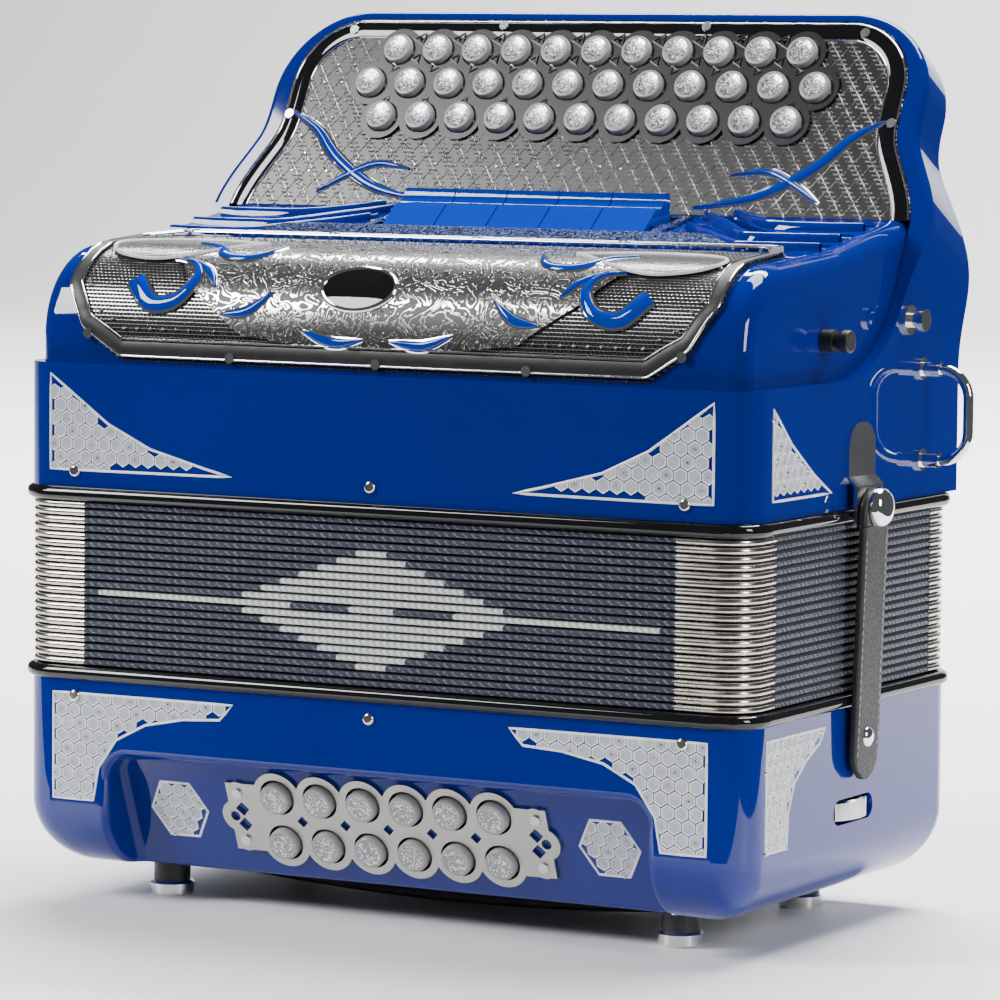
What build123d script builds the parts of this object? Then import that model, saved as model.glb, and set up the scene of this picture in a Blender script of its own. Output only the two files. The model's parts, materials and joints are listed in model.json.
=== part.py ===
from build123d import *
from math import atan2, cos, degrees, radians, sin, tan
import os

# Three-row diatonic button accordion, standing on the feet of its bass side.
# X runs along the casings, -Y is the side with the grille and the bass buttons, +Z runs from
# the bass side to the treble side. The origin is on the floor, under the middle of the whole
# object, so the casings' own middle plane lies a little forward of it. Sizes are in mm.

os.makedirs("parts", exist_ok=True)

# ---------------------------------------------------------------- driving dimensions

# Casings
case_width = 330.0
case_depth = 190.0
case_mid_y = -11.0
case_corner = 15.0
wall = 5.0
seat_ledge = 3.0
fit_gap = 0.3

# Feet
foot_height = 14.5
foot_cap_diameter = 18.0
foot_cap_height = 6.0
foot_post_diameter = 15.0
foot_from_end = 48.0
foot_from_front = 41.0

# Bass casing
bass_height = 76.8
bass_rounding = 26.0
recess_half_length = 123.0
recess_top_above_bottom = 47.0
recess_tilt = 21.0
recess_lip_depth = 9.0
recess_wall = 4.0
recess_end_round = 10.0
recess_floor_round = 3.5
recess_lip_round = 3.0
cover_length = 200.0
cover_width = 110.0
cover_thickness = 3.0
cover_rim = 5.0

# Bass buttons and their plate
bass_pitch = 19.8
bass_row_spacing = 20.3
bass_columns = 6
bass_plate_thickness = 1.5
bass_plate_ring = 10.8
bass_plate_half_length = 77.0
bass_plate_end_half_height = 15.0
bass_group_above_bottom = 25.0
bass_hole_diameter = 15.5
bass_button_stand = 3.0
bass_stem_length = 12.0
bass_screw_spread = 68.0
bass_screw_height = 10.5

# Buttons, the same on both sides
button_diameter = 13.2
button_cap_length = 7.0
button_edge_round = 1.0
button_travel = 3.0
stem_diameter = 4.0

# Bellows
bead_height = 5.6
bead_out = 2.5
bead_inner_width = 12.0
frame_tongue_height = 8.7
frame_tongue_thickness = 6.0
fold_count = 21
fold_pitch = 3.19
fold_thickness = 2.3
fold_inset = 0.6
fold_depth = 6.0
fold_core_thickness = 1.5
clip_thickness = 0.4
clip_height = 2.7
clip_front_reach = 31.0
clip_side_reach = 24.0

# Soundboards and reed blocks
board_thickness = 6.0
block_width = 14.0
block_height = 34.0
block_end_wall = 4.0
reed_plate_thickness = 1.2
reed_plate_height = 26.0
bass_block_half_length = 110.0
bass_block_spacing = 46.0

# Treble casing and hood
band_height = 50.0
hood_seat_below_top = 5.5
hood_wall = 4.0
hood_bullnose = 36.0
hood_slope = 9.6
hood_front_slope = 4.0
hood_kink_from_keys = 61.0
hood_edge_round = 8.0
seam_radius = 62.0
back_bend_radius = 40.0
treble_cavity_above_split = 8.0
treble_cavity_bend = 12.0

# Keyboard
key_tilt = 27.74
key_height_above_band = 111.8
key_centre_from_back = 10.9
key_slab = 22.0
key_back_wall = 3.5
key_top = 36.0
key_corner = 40.0
key_waist_in = 11.0
key_flare_out = 4.0
key_flare_below = 38.0
key_hip_in = 0.5
key_hollow_out = 3.0
key_split = -58.0
key_edge_round = 3.0
plate_border = 9.0
plate_top_border = 4.5
plate_thickness = 2.0
plate_ledge = 5.0

# Treble buttons
treble_pitch = 19.1
treble_row_spacing = 15.93
treble_row_counts = (11, 12, 11)
treble_button_stand = 4.0
treble_hole_diameter = 14.6
bezel_ring = 10.2
bezel_height = 1.2
treble_stem_length = 6.4

# Levers and pallets
lever_axle_diameter = 3.0
lever_axle_clearance = 0.05
lever_hub_diameter = 7.0
lever_axle_below_keys = 75.0
lever_axle_depth = 11.25
lever_gap = 0.6
lever_thickness = 2.5
lever_width = 2.5
lever_row_shift = (-5.75, 0.0, 0.0)
axle_bracket_thickness = 3.0
axle_bracket_height = 5.0
pallet_length = 20.0
pallet_width = 15.0
pallet_thickness = 3.5
pallet_heel = 3.0
pallet_first_from_front = 35.0
pallet_spacing = 25.0

# Grille
grille_thickness = 1.2
grille_bottom_half = 119.0
grille_low_half = 137.0
grille_low_up = 8.0
grille_widest_half = 147.0
grille_widest_up = 24.0
grille_shoulder_half = 150.0
grille_shoulder_down = 22.0
grille_top_half = 136.0
grille_corner_round = 8.0
grille_above_band = 1.2
grille_top_from_front = 88.0
grille_window_border = 9.0

# Register switches
register_count = 5
register_pitch = 24.4
register_gap = 0.6
register_axle_diameter = 3.0
register_front_from_keys = 45.0
register_length = 28.0
register_housing_half = 92.0
register_lip_height = 3.6
register_window_side = 3.0
register_window_gap = 3.5
register_hub_diameter = 10.0
ring_border = 4.0
ring_thickness = 1.2
lug_thickness = 2.2
lip_width = 8.0
lip_half_bottom = 110.0
slot_count = 3
slot_first_y = case_mid_y + 4.0
slot_spacing = 20.0
slot_width = 5.0
slot_outer_x = 148.0
slot_bend_x = 112.0
slot_run = 36.0
slot_rise = 0.87
slot_end_gap = 5.0

# Small hardware
knob_diameter = 9.0
knob_from_front = 73.0
knob_above_band = 16.0
knob_shaft_diameter = 5.0
knob_shaft_inside = 10.0
knob_base_length = 5.0
knob_flare_length = 4.0
knob_head_length = 3.0
strap_button_from_back = 50.0
strap_button_above_band = 21.5
strap_button_steps = ((6.0, 1.5), (3.0, 4.0), (4.5, 2.5))
strap_button_seat = 0.1
handle_from_back = 37.0
handle_low_above_bottom = 15.0
handle_spread = 36.5
handle_wire = 4.2
handle_out = 21.0
handle_bend = 11.5
handle_flange_diameter = 9.0
handle_collar_diameter = 6.0
handle_collar_length = 9.0
pin_diameter = 5.0
pin_from_end = 27.2
pin_from_bead = 6.5
pin_height = 1.5
stud_diameter = 8.0
stud_height = 1.2
stud_from_strap_end = 16.0
screw_diameter = 4.2
screw_height = 0.9
screw_spacing = 67.0
screw_above_band = 4.3
end_screw_above_band = 12.0
screw_from_edge = 4.0

# Bellows straps
strap_width = 22.0
strap_thickness = 3.0
strap_bottom_above_floor = 62.8
strap_y = case_mid_y + 1.0
bracket_thickness = 1.5
bracket_top_above_bottom = 33.5
bracket_bend_above_bottom = 12.5
bracket_out = 3.5
bracket_top_round = 10.0
dome_diameter = 16.0
dome_height = 5.0
dome_above_bottom = 0.5
strap_hinge_below = 9.8
strap_end_clear = 2.0
bracket_width = 24.0

# Hand strap, adjuster wheel and air button
hand_strap_width = 56.0
hand_strap_thickness = 3.5
hand_strap_half_length = 118.0
wheel_diameter = 52.0
wheel_thickness = 8.0
wheel_out = 3.0
wheel_axle_diameter = 4.0
wheel_axle_clearance = 0.05
wheel_above_bottom = 36.0
wheel_slot_width = 36.0
wheel_slot_height = 10.0
wheel_chamfer = 1.0
wheel_pocket_clear = 1.0
bracket_arm_width = 16.0
hand_bracket_width = 26.0
hand_strap_low = 3.0
air_button_x = 88.0
air_button_y = case_mid_y + 38.0
air_button_diameter = 15.0
air_button_travel = 4.0
air_button_height = 4.5
air_button_round = 1.5
air_plunger_diameter = 6.1
air_plunger_clearance = 0.05
air_hinge_x = 56.0
air_pin_diameter = 3.0
air_pin_above_floor = 2.3
air_lug_spacing = 17.0
air_lug_length = 5.0
air_lug_thickness = 3.0
air_flap_width = 13.0
air_flap_thickness = 2.0
air_hub_wall = 0.5
air_slot_length = 5.5
air_slot_width = 3.0

# ---------------------------------------------------------------- derived levels and places

half_width = case_width / 2
front_y = case_mid_y - case_depth / 2
back_y = case_mid_y + case_depth / 2
bass_bottom = foot_height
bass_top = bass_bottom + bass_height
folds_bottom = bass_top + bead_height
folds_top = folds_bottom + fold_count * fold_pitch
treble_bottom = folds_top + bead_height
band_top = treble_bottom + band_height
bass_board_bottom = bass_top - frame_tongue_height - fit_gap - board_thickness
bass_board_top = bass_board_bottom + board_thickness
treble_board_bottom = treble_bottom + frame_tongue_height + fit_gap
treble_board_top = treble_board_bottom + board_thickness
hood_seat = band_top - hood_seat_below_top
hood_half_width = half_width - wall - fit_gap
hood_front = front_y + wall + fit_gap

key_centre = Vector(0, back_y - key_centre_from_back, band_top + key_height_above_band)
key_plane = Plane(
    origin=key_centre,
    x_dir=(1, 0, 0),
    z_dir=(0, -cos(radians(key_tilt)), sin(radians(key_tilt))),
)
recess_centre = Vector(
    0,
    front_y + recess_lip_depth
    + (recess_top_above_bottom - bass_group_above_bottom) * tan(radians(recess_tilt)),
    bass_bottom + bass_group_above_bottom,
)
recess_plane = Plane(
    origin=recess_centre,
    x_dir=(1, 0, 0),
    z_dir=(0, -cos(radians(recess_tilt)), -sin(radians(recess_tilt))),
)
recess_axis = Axis(recess_plane.origin, recess_plane.z_dir)
key_axis = Axis(key_plane.origin, key_plane.z_dir)


def level(height):
    """Horizontal plane at a height, over the middle of the casings."""
    return Plane(origin=(0, case_mid_y, height))


def side_plane(x):
    """Plane across the casings at x, with local axes Y and Z."""
    return Plane.YZ.offset(x)


def key_point(up, deep):
    """Y and Z of a point `up` along the keyboard and `deep` behind its face."""
    point = key_plane.from_local_coords((0, up, -deep))
    return point.Y, point.Z


def top_of_hood(y):
    """Height of the hood's top at y: one slope behind the register lip, a flatter one ahead of it."""
    y_joint, z_joint = key_point(key_split, 0)
    behind = min(y_joint - y, hood_kink_from_keys)
    ahead = y_joint - y - behind
    return z_joint - behind * tan(radians(hood_slope)) - ahead * tan(radians(hood_front_slope))


def row_places(count, pitch):
    """Middle positions of a row of `count` things, centred on zero."""
    return [(i - (count - 1) / 2) * pitch for i in range(count)]


def rounded_slab(inset, bottom, top, corner=None):
    """Closed slab with the casings' plan shape, drawn in by `inset`."""
    with BuildPart() as slab:
        with BuildSketch(level(bottom)):
            RectangleRounded(
                case_width - 2 * inset,
                case_depth - 2 * inset,
                max(case_corner - inset, 1.0) if corner is None else corner,
            )
        extrude(amount=top - bottom)
    return slab.part


# ---------------------------------------------------------------- feet

foot_points = [
    (sx * (half_width - foot_from_end), sy * (case_depth / 2 - foot_from_front))
    for sx in (-1, 1)
    for sy in (-1, 1)
]

with BuildPart() as feet_caps:
    with BuildSketch(level(0)):
        with Locations(*foot_points):
            Circle(foot_cap_diameter / 2)
    extrude(amount=foot_cap_height)
    chamfer(feet_caps.edges().filter_by(GeomType.CIRCLE), 1.0)
feet_caps.part.label = "feet_caps"
export_step(feet_caps.part, "parts/feet_caps.step")

with BuildPart() as feet_posts:
    with BuildSketch(level(foot_cap_height)):
        with Locations(*foot_points):
            Circle(foot_post_diameter / 2)
    extrude(amount=foot_height - foot_cap_height)
feet_posts.part.label = "feet_posts"
export_step(feet_posts.part, "parts/feet_posts.step")

# ---------------------------------------------------------------- bass casing


def recess_solid(grow):
    """Scoop in the front of the bass casing, or the wall behind it when grown."""
    reach = recess_half_length + grow
    top = bass_bottom + recess_top_above_bottom + grow
    with BuildPart() as scoop:
        with BuildSketch(Plane.XZ.offset(2 * recess_lip_depth - front_y)) as scoop_outline:
            with Locations((0, top)):
                Rectangle(2 * reach, 2 * top, align=(Align.CENTER, Align.MAX))
            corners = scoop_outline.vertices().group_by(Axis.Y)[-1]
            fillet(corners, recess_end_round + grow)
        extrude(amount=-case_depth / 2)
        split(bisect_by=recess_plane.offset(-grow), keep=Keep.TOP)
        floor = scoop.faces().filter_by(lambda f: f.normal_at().Y > 0.5)
        rim = floor.edges().filter_by(lambda e: e.center().Z > -top / 2)
        fillet(rim, recess_floor_round)
    return scoop.part


bass_grid = [
    (x, y)
    for y in row_places(2, -bass_row_spacing)
    for x in row_places(bass_columns, bass_pitch)
]

with BuildPart() as bass_shell:
    with BuildSketch(level(bass_bottom)):
        RectangleRounded(case_width, case_depth, case_corner)
    extrude(amount=bass_height)
    fillet(bass_shell.faces().sort_by(Axis.Z)[0].edges(), bass_rounding)
    add(recess_solid(0), mode=Mode.SUBTRACT)
    lip = bass_shell.edges().filter_by(
        lambda e: abs(e.center().Y - front_y) < 0.01
        and e.bounding_box().size.Y < 0.01
        and bass_bottom + bass_rounding - 1 < e.center().Z < bass_top - 5
        and abs(e.center().X) < recess_half_length + 1
    )
    fillet(lip, recess_lip_round)

with BuildPart() as bass_cavity:
    lower_inset = wall + seat_ledge
    with BuildSketch(level(bass_bottom + wall)):
        RectangleRounded(
            case_width - 2 * lower_inset, case_depth - 2 * lower_inset, case_corner - wall
        )
    extrude(amount=bass_board_bottom - bass_bottom - wall)
    fillet(
        bass_cavity.faces().sort_by(Axis.Z)[0].edges(), bass_rounding - wall - seat_ledge
    )
    with BuildSketch(level(bass_board_bottom)):
        RectangleRounded(case_width - 2 * wall, case_depth - 2 * wall, case_corner - wall)
    extrude(amount=bass_top - bass_board_bottom)
    add(recess_solid(recess_wall), mode=Mode.SUBTRACT)

wheel_centre = (half_width + wheel_out - wheel_diameter / 2, case_mid_y)
wheel_level = bass_bottom + wheel_above_bottom

with BuildPart() as bass_casing:
    add(bass_shell.part)
    add(bass_cavity.part, mode=Mode.SUBTRACT)
    with BuildSketch(recess_plane):
        with Locations(*bass_grid):
            Circle(bass_hole_diameter / 2)
    extrude(amount=-2 * recess_wall, both=True, mode=Mode.SUBTRACT)
    with BuildSketch(level(bass_bottom)):
        Rectangle(cover_length, cover_width)
    extrude(amount=cover_thickness, mode=Mode.SUBTRACT)
    with BuildSketch(level(bass_bottom)):
        Rectangle(cover_length - 2 * cover_rim, cover_width - 2 * cover_rim)
    extrude(amount=2 * wall, mode=Mode.SUBTRACT)
    with BuildSketch(side_plane(half_width)):
        with Locations((case_mid_y, wheel_level)):
            SlotOverall(wheel_slot_width, wheel_slot_height)
    extrude(amount=-wall, mode=Mode.SUBTRACT)
    with BuildSketch(Plane(origin=(*wheel_centre, wheel_level - wheel_slot_height / 2))):
        Circle(wheel_diameter / 2 + wheel_pocket_clear)
    extrude(amount=wheel_slot_height, mode=Mode.SUBTRACT)
bass_casing.part.label = "bass_casing"
export_step(bass_casing.part, "parts/bass_casing.step")

# Bottom cover, with the air holes and the hinge lugs of the air valve
air_floor = bass_bottom + cover_thickness
air_pin_level = air_floor + air_pin_above_floor
air_shut_level = bass_bottom - air_button_travel - fit_gap

with BuildPart() as bass_cover:
    with BuildSketch(level(bass_bottom)):
        Rectangle(cover_length - 2 * fit_gap, cover_width - 2 * fit_gap)
        with Locations((air_button_x, air_button_y - case_mid_y)):
            Circle(air_plunger_diameter / 2 + air_plunger_clearance, mode=Mode.SUBTRACT)
        with Locations(((air_hinge_x + air_button_x) / 2, air_button_y - case_mid_y)):
            with GridLocations(1.3 * air_slot_length, 2.5 * air_slot_width, 2, 2):
                SlotOverall(air_slot_length, air_slot_width, mode=Mode.SUBTRACT)
    extrude(amount=cover_thickness)
    with BuildSketch(level(air_floor)):
        with Locations((air_hinge_x, air_button_y - case_mid_y)):
            with GridLocations(0, air_lug_spacing, 1, 2):
                Rectangle(air_lug_length, air_lug_thickness)
    extrude(amount=air_pin_above_floor + air_lug_length / 2)
    with BuildSketch(Plane.XZ.offset(-(air_button_y + air_lug_spacing / 2))):
        with Locations((air_hinge_x, air_pin_level)):
            Circle(air_pin_diameter / 2)
    extrude(amount=air_lug_spacing)
bass_cover.part.label = "bass_cover"
export_step(bass_cover.part, "parts/bass_cover.step")

with BuildPart() as air_button:
    with BuildSketch(Plane.XY.offset(air_shut_level)):
        with Locations((air_button_x, air_button_y)):
            Circle(air_button_diameter / 2)
    extrude(amount=-air_button_height)
    fillet(air_button.edges().sort_by(Axis.Z)[0], air_button_round)
    with BuildSketch(Plane.XY.offset(air_shut_level)):
        with Locations((air_button_x, air_button_y)):
            Circle(air_plunger_diameter / 2)
    extrude(amount=air_floor - air_shut_level - fit_gap)
air_button.part.label = "air_button"
export_step(air_button.part, "parts/air_button.step")

flap_side = Plane.XZ.offset(-(air_button_y + air_flap_width / 2))

with BuildPart() as air_valve_flap:
    with BuildSketch(Plane.XY.offset(air_floor + fit_gap)):
        with Locations((air_hinge_x + air_pin_diameter, air_button_y)):
            Rectangle(
                air_button_x - air_hinge_x + air_flap_thickness,
                air_flap_width,
                align=(Align.MIN, Align.CENTER),
            )
    extrude(amount=air_flap_thickness)
    with BuildSketch(flap_side):
        with Locations((air_hinge_x, air_pin_level)):
            Circle(air_pin_diameter / 2 + air_hub_wall)
            Rectangle(
                2 * air_pin_diameter,
                air_flap_thickness - fit_gap,
                align=(Align.MIN, Align.CENTER),
            )
    extrude(amount=air_flap_width)
    with BuildSketch(flap_side):
        with Locations((air_hinge_x, air_pin_level)):
            Circle(air_pin_diameter / 2 + lever_axle_clearance)
    extrude(amount=air_flap_width, mode=Mode.SUBTRACT)
air_valve_flap.part.label = "air_valve_flap"
export_step(air_valve_flap.part, "parts/air_valve_flap.step")

# ---------------------------------------------------------------- bass button plate

with BuildPart() as bass_button_plate:
    with BuildSketch(recess_plane):
        with Locations(*bass_grid):
            Circle(bass_plate_ring)
        Rectangle((bass_columns - 1) * bass_pitch, bass_row_spacing)
        with BuildSketch(mode=Mode.ADD):
            Rectangle(2 * bass_plate_half_length - 8, 2 * bass_plate_end_half_height)
            with GridLocations(2 * bass_plate_half_length - 14, 0, 2, 1):
                Circle(7)
            with GridLocations(2 * bass_screw_spread, 2 * bass_screw_height, 2, 2):
                Circle(5)
        with Locations(*bass_grid):
            Circle(bass_hole_diameter / 2, mode=Mode.SUBTRACT)
        with GridLocations(bass_pitch, 0, bass_columns - 1, 1):
            Rectangle(3.6, 3.6, rotation=45, mode=Mode.SUBTRACT)
    extrude(amount=bass_plate_thickness)
    with BuildSketch(recess_plane.offset(bass_plate_thickness)):
        with GridLocations(2 * (bass_plate_half_length - 10), 7, 2, 2):
            Rectangle(4.5, 4.5, rotation=45)
        with GridLocations(2 * (bass_plate_half_length - 6), 0, 2, 1):
            Circle(2.2)
    extrude(amount=-bass_plate_thickness, mode=Mode.SUBTRACT)
bass_button_plate.part.label = "bass_button_plate"
export_step(bass_button_plate.part, "parts/bass_button_plate.step")

cap_top = bass_plate_thickness + bass_button_stand
for number, place in enumerate(bass_grid, start=1):
    with BuildPart() as bass_button:
        with BuildSketch(recess_plane.offset(cap_top)):
            with Locations(place):
                Circle(button_diameter / 2)
        extrude(amount=-button_cap_length)
        fillet(bass_button.faces().sort_by(recess_axis)[-1].edges(), button_edge_round)
        with BuildSketch(recess_plane.offset(cap_top - button_cap_length)):
            with Locations(place):
                Circle(stem_diameter / 2)
        extrude(amount=-bass_stem_length)
    bass_button.part.label = f"bass_button_{number:02d}"
    export_step(bass_button.part, f"parts/bass_button_{number:02d}.step")

# ---------------------------------------------------------------- bellows


def bellows_frame(bead_bottom, tongue_bottom):
    """Bellows frame: a round-edged bead with a tongue that slides into the casing."""
    with BuildPart() as frame:
        with BuildSketch(level(bead_bottom)):
            RectangleRounded(
                case_width + 2 * bead_out, case_depth + 2 * bead_out, case_corner + bead_out
            )
            RectangleRounded(
                case_width - 2 * bead_inner_width,
                case_depth - 2 * bead_inner_width,
                case_corner / 2,
                mode=Mode.SUBTRACT,
            )
        extrude(amount=bead_height)
        outer = frame.edges().filter_by(
            lambda e: e.bounding_box().size.Z < 0.01
            and max(abs(e.center().X) / half_width, abs(e.center().Y - case_mid_y) * 2 / case_depth) > 0.95
        )
        fillet(outer, bead_height / 2 - 0.1)
        with BuildSketch(level(tongue_bottom)):
            RectangleRounded(
                case_width - 2 * (wall + fit_gap),
                case_depth - 2 * (wall + fit_gap),
                case_corner - wall,
            )
            RectangleRounded(
                case_width - 2 * bead_inner_width,
                case_depth - 2 * bead_inner_width,
                case_corner / 2,
                mode=Mode.SUBTRACT,
            )
        extrude(amount=frame_tongue_height)
    return frame


bass_bellows_frame = bellows_frame(bass_top, bass_top - frame_tongue_height)
bass_bellows_frame.part.label = "bass_bellows_frame"
export_step(bass_bellows_frame.part, "parts/bass_bellows_frame.step")

treble_bellows_frame = bellows_frame(folds_top, treble_bottom)
treble_bellows_frame.part.label = "treble_bellows_frame"
export_step(treble_bellows_frame.part, "parts/treble_bellows_frame.step")

fold_levels = [
    folds_bottom + fold_pitch * (i + 0.5) - fold_thickness / 2 for i in range(fold_count)
]
core_inset = fold_inset + fold_depth

with BuildPart() as bellows_folds:
    with BuildSketch(level(folds_bottom)):
        RectangleRounded(
            case_width - 2 * core_inset, case_depth - 2 * core_inset, case_corner - core_inset
        )
        RectangleRounded(
            case_width - 2 * (core_inset + fold_core_thickness),
            case_depth - 2 * (core_inset + fold_core_thickness),
            case_corner - core_inset - fold_core_thickness,
            mode=Mode.SUBTRACT,
        )
    extrude(amount=folds_top - folds_bottom)
    for fold_level in fold_levels:
        with BuildSketch(level(fold_level)):
            RectangleRounded(
                case_width - 2 * fold_inset, case_depth - 2 * fold_inset, case_corner
            )
            RectangleRounded(
                case_width - 2 * core_inset - 0.4,
                case_depth - 2 * core_inset - 0.4,
                case_corner - core_inset,
                mode=Mode.SUBTRACT,
            )
        extrude(amount=fold_thickness)
bellows_folds.part.label = "bellows_folds"
export_step(bellows_folds.part, "parts/bellows_folds.step")

# A thin metal cap round each corner of each fold
clip_outer = fold_inset - clip_thickness

with BuildPart() as bellows_corner_clips:
    for fold_level in fold_levels:
        with BuildSketch(level(fold_level - (clip_height - fold_thickness) / 2)):
            RectangleRounded(
                case_width - 2 * clip_outer, case_depth - 2 * clip_outer, case_corner
            )
            RectangleRounded(
                case_width - 2 * fold_inset,
                case_depth - 2 * fold_inset,
                case_corner,
                mode=Mode.SUBTRACT,
            )
            Rectangle(case_width - 2 * clip_front_reach, 2 * case_depth, mode=Mode.SUBTRACT)
            Rectangle(2 * case_width, case_depth - 2 * clip_side_reach, mode=Mode.SUBTRACT)
        extrude(amount=clip_height)
bellows_corner_clips.part.label = "bellows_corner_clips"
export_step(bellows_corner_clips.part, "parts/bellows_corner_clips.step")

# ---------------------------------------------------------------- soundboards and reed blocks

treble_rows = [
    (count, front_y + pallet_first_from_front + row * pallet_spacing)
    for row, count in enumerate(treble_row_counts)
]
bass_rows = [case_mid_y + y for y in row_places(2, bass_block_spacing)]


def reed_block(y, half_length, bottom, chambers, open_top):
    """Wooden block with a row of air chambers, open at the board and at both sides."""
    pitch = (2 * half_length - block_end_wall) / chambers
    with BuildPart() as block:
        with BuildSketch(Plane.XY.offset(bottom)):
            with Locations((0, y)):
                Rectangle(2 * half_length, block_width)
        extrude(amount=block_height)
        floor = bottom + (block_end_wall if open_top else 0)
        with BuildSketch(Plane.XY.offset(floor)):
            with Locations((0, y)):
                with GridLocations(pitch, 0, chambers, 1):
                    Rectangle(pitch - block_end_wall, block_width - 3.0)
        extrude(amount=block_height - block_end_wall, mode=Mode.SUBTRACT)
        with BuildSketch(Plane.XZ.offset(-y)):
            with Locations((0, bottom + block_height / 2)):
                with GridLocations(pitch, 0, chambers, 1):
                    Rectangle(pitch - 1.6 * block_end_wall, 0.5 * block_height)
        extrude(amount=block_width, both=True, mode=Mode.SUBTRACT)
    return block.part


def reed_plates(y, half_length, bottom, chambers):
    """Two slotted metal plates, one on each side of a reed block."""
    pitch = (2 * half_length - block_end_wall) / chambers
    with BuildPart() as plates:
        for side in (-1, 1):
            near = y + side * block_width / 2
            with BuildSketch(Plane.XZ.offset(-near)):
                with Locations((0, bottom + block_height / 2)):
                    Rectangle(2 * half_length - 4, reed_plate_height)
                    with GridLocations(pitch, 0, chambers, 1):
                        with GridLocations(4.6, 0, 2, 1):
                            Rectangle(2.2, 0.6 * reed_plate_height, mode=Mode.SUBTRACT)
            extrude(amount=-side * reed_plate_thickness)
    return plates.part


bass_chambers = bass_columns * 2

with BuildPart() as bass_soundboard:
    add(rounded_slab(wall + fit_gap, bass_board_bottom, bass_board_top))
    with BuildSketch(Plane.XY.offset(bass_board_bottom)):
        for y in bass_rows:
            with Locations((0, y)):
                with GridLocations(2 * bass_block_half_length / bass_chambers, 0, bass_chambers, 1):
                    Rectangle(9, block_width - 5)
    extrude(amount=board_thickness, mode=Mode.SUBTRACT)
bass_soundboard.part.label = "bass_soundboard"
export_step(bass_soundboard.part, "parts/bass_soundboard.step")

with BuildPart() as bass_reed_blocks:
    for y in bass_rows:
        add(reed_block(y, bass_block_half_length, bass_board_top, bass_chambers, False))
bass_reed_blocks.part.label = "bass_reed_blocks"
export_step(bass_reed_blocks.part, "parts/bass_reed_blocks.step")

with BuildPart() as bass_reed_plates:
    for y in bass_rows:
        add(reed_plates(y, bass_block_half_length, bass_board_top, bass_chambers))
bass_reed_plates.part.label = "bass_reed_plates"
export_step(bass_reed_plates.part, "parts/bass_reed_plates.step")


def treble_half_length(count):
    """Half length of the reed block under a treble row."""
    return (count * treble_pitch + block_end_wall) / 2


with BuildPart() as treble_soundboard:
    add(rounded_slab(wall + fit_gap, treble_board_bottom, treble_board_top))
    with BuildSketch(Plane.XY.offset(treble_board_bottom)):
        for count, y in treble_rows:
            with Locations((0, y)):
                with GridLocations(treble_pitch, 0, count, 1):
                    Rectangle(9, block_width - 5)
    extrude(amount=board_thickness, mode=Mode.SUBTRACT)
treble_soundboard.part.label = "treble_soundboard"
export_step(treble_soundboard.part, "parts/treble_soundboard.step")

treble_block_bottom = treble_board_bottom - block_height

with BuildPart() as treble_reed_blocks:
    for count, y in treble_rows:
        add(reed_block(y, treble_half_length(count), treble_block_bottom, count, True))
treble_reed_blocks.part.label = "treble_reed_blocks"
export_step(treble_reed_blocks.part, "parts/treble_reed_blocks.step")

with BuildPart() as treble_reed_plates:
    for count, y in treble_rows:
        add(reed_plates(y, treble_half_length(count), treble_block_bottom, count))
treble_reed_plates.part.label = "treble_reed_plates"
export_step(treble_reed_plates.part, "parts/treble_reed_plates.step")

# ---------------------------------------------------------------- keyboard outlines


def key_outline(side_in, top_in, bottom):
    """Half the keyboard's outline, drawn in from the sides and the top, closed down the middle."""
    side = half_width - side_in
    corner = key_corner - max(side_in, top_in)
    waist = side - key_waist_in
    top = key_top - top_in
    with BuildLine() as outline:
        start = (side, key_split - key_flare_below)
        flare = (side + key_flare_out, key_split)
        hip = (side - key_hip_in, key_split + key_flare_below / 2.5)
        hollow = (waist + key_hollow_out, key_split + key_flare_below / 1.25)
        neck = (waist, top - corner)
        Polyline((0, bottom), (side, bottom), start)
        Spline(start, flare, hip, hollow, neck, tangents=[(0, 1), (0, 1)])
        RadiusArc(neck, (waist - corner, top), -corner)
        Polyline((waist - corner, top), (0, top), (0, bottom))
    return outline


def key_face(side_in, top_in, bottom, plane):
    """Whole keyboard outline as a face on a plane."""
    with BuildSketch(plane) as face:
        with BuildLine():
            add(key_outline(side_in, top_in, bottom).line)
        make_face()
        mirror(about=Plane.YZ)
    return face.sketch


# ---------------------------------------------------------------- treble casing and keyboard frame


def above_split(edge):
    """Whether an edge lies clear of the joint between the casing and the keyboard."""
    return key_plane.to_local_coords(edge.center()).Y > key_split + fit_gap


seam_start_y = (
    key_point(0, 0)[0]
    + (band_top + seam_radius * (1 - sin(radians(key_tilt))) - key_centre.Z) * tan(radians(key_tilt))
    - seam_radius * cos(radians(key_tilt))
)
seam_end = (
    seam_start_y + seam_radius * cos(radians(key_tilt)),
    band_top + seam_radius * (1 - sin(radians(key_tilt))),
)
back_meets_slab = key_centre.Z + (
    back_y - key_slab * cos(radians(key_tilt)) - key_centre.Y
) / tan(radians(key_tilt)) - key_slab * sin(radians(key_tilt))

key_shape = key_face(0, 0, 3 * key_split - case_depth / 2, key_plane)
plate_shape = key_face(plate_border, plate_top_border, 2 * key_split, key_plane)
pocket_shape = key_face(
    plate_border + plate_ledge, plate_top_border + plate_ledge, 2 * key_split, key_plane
)

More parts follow.
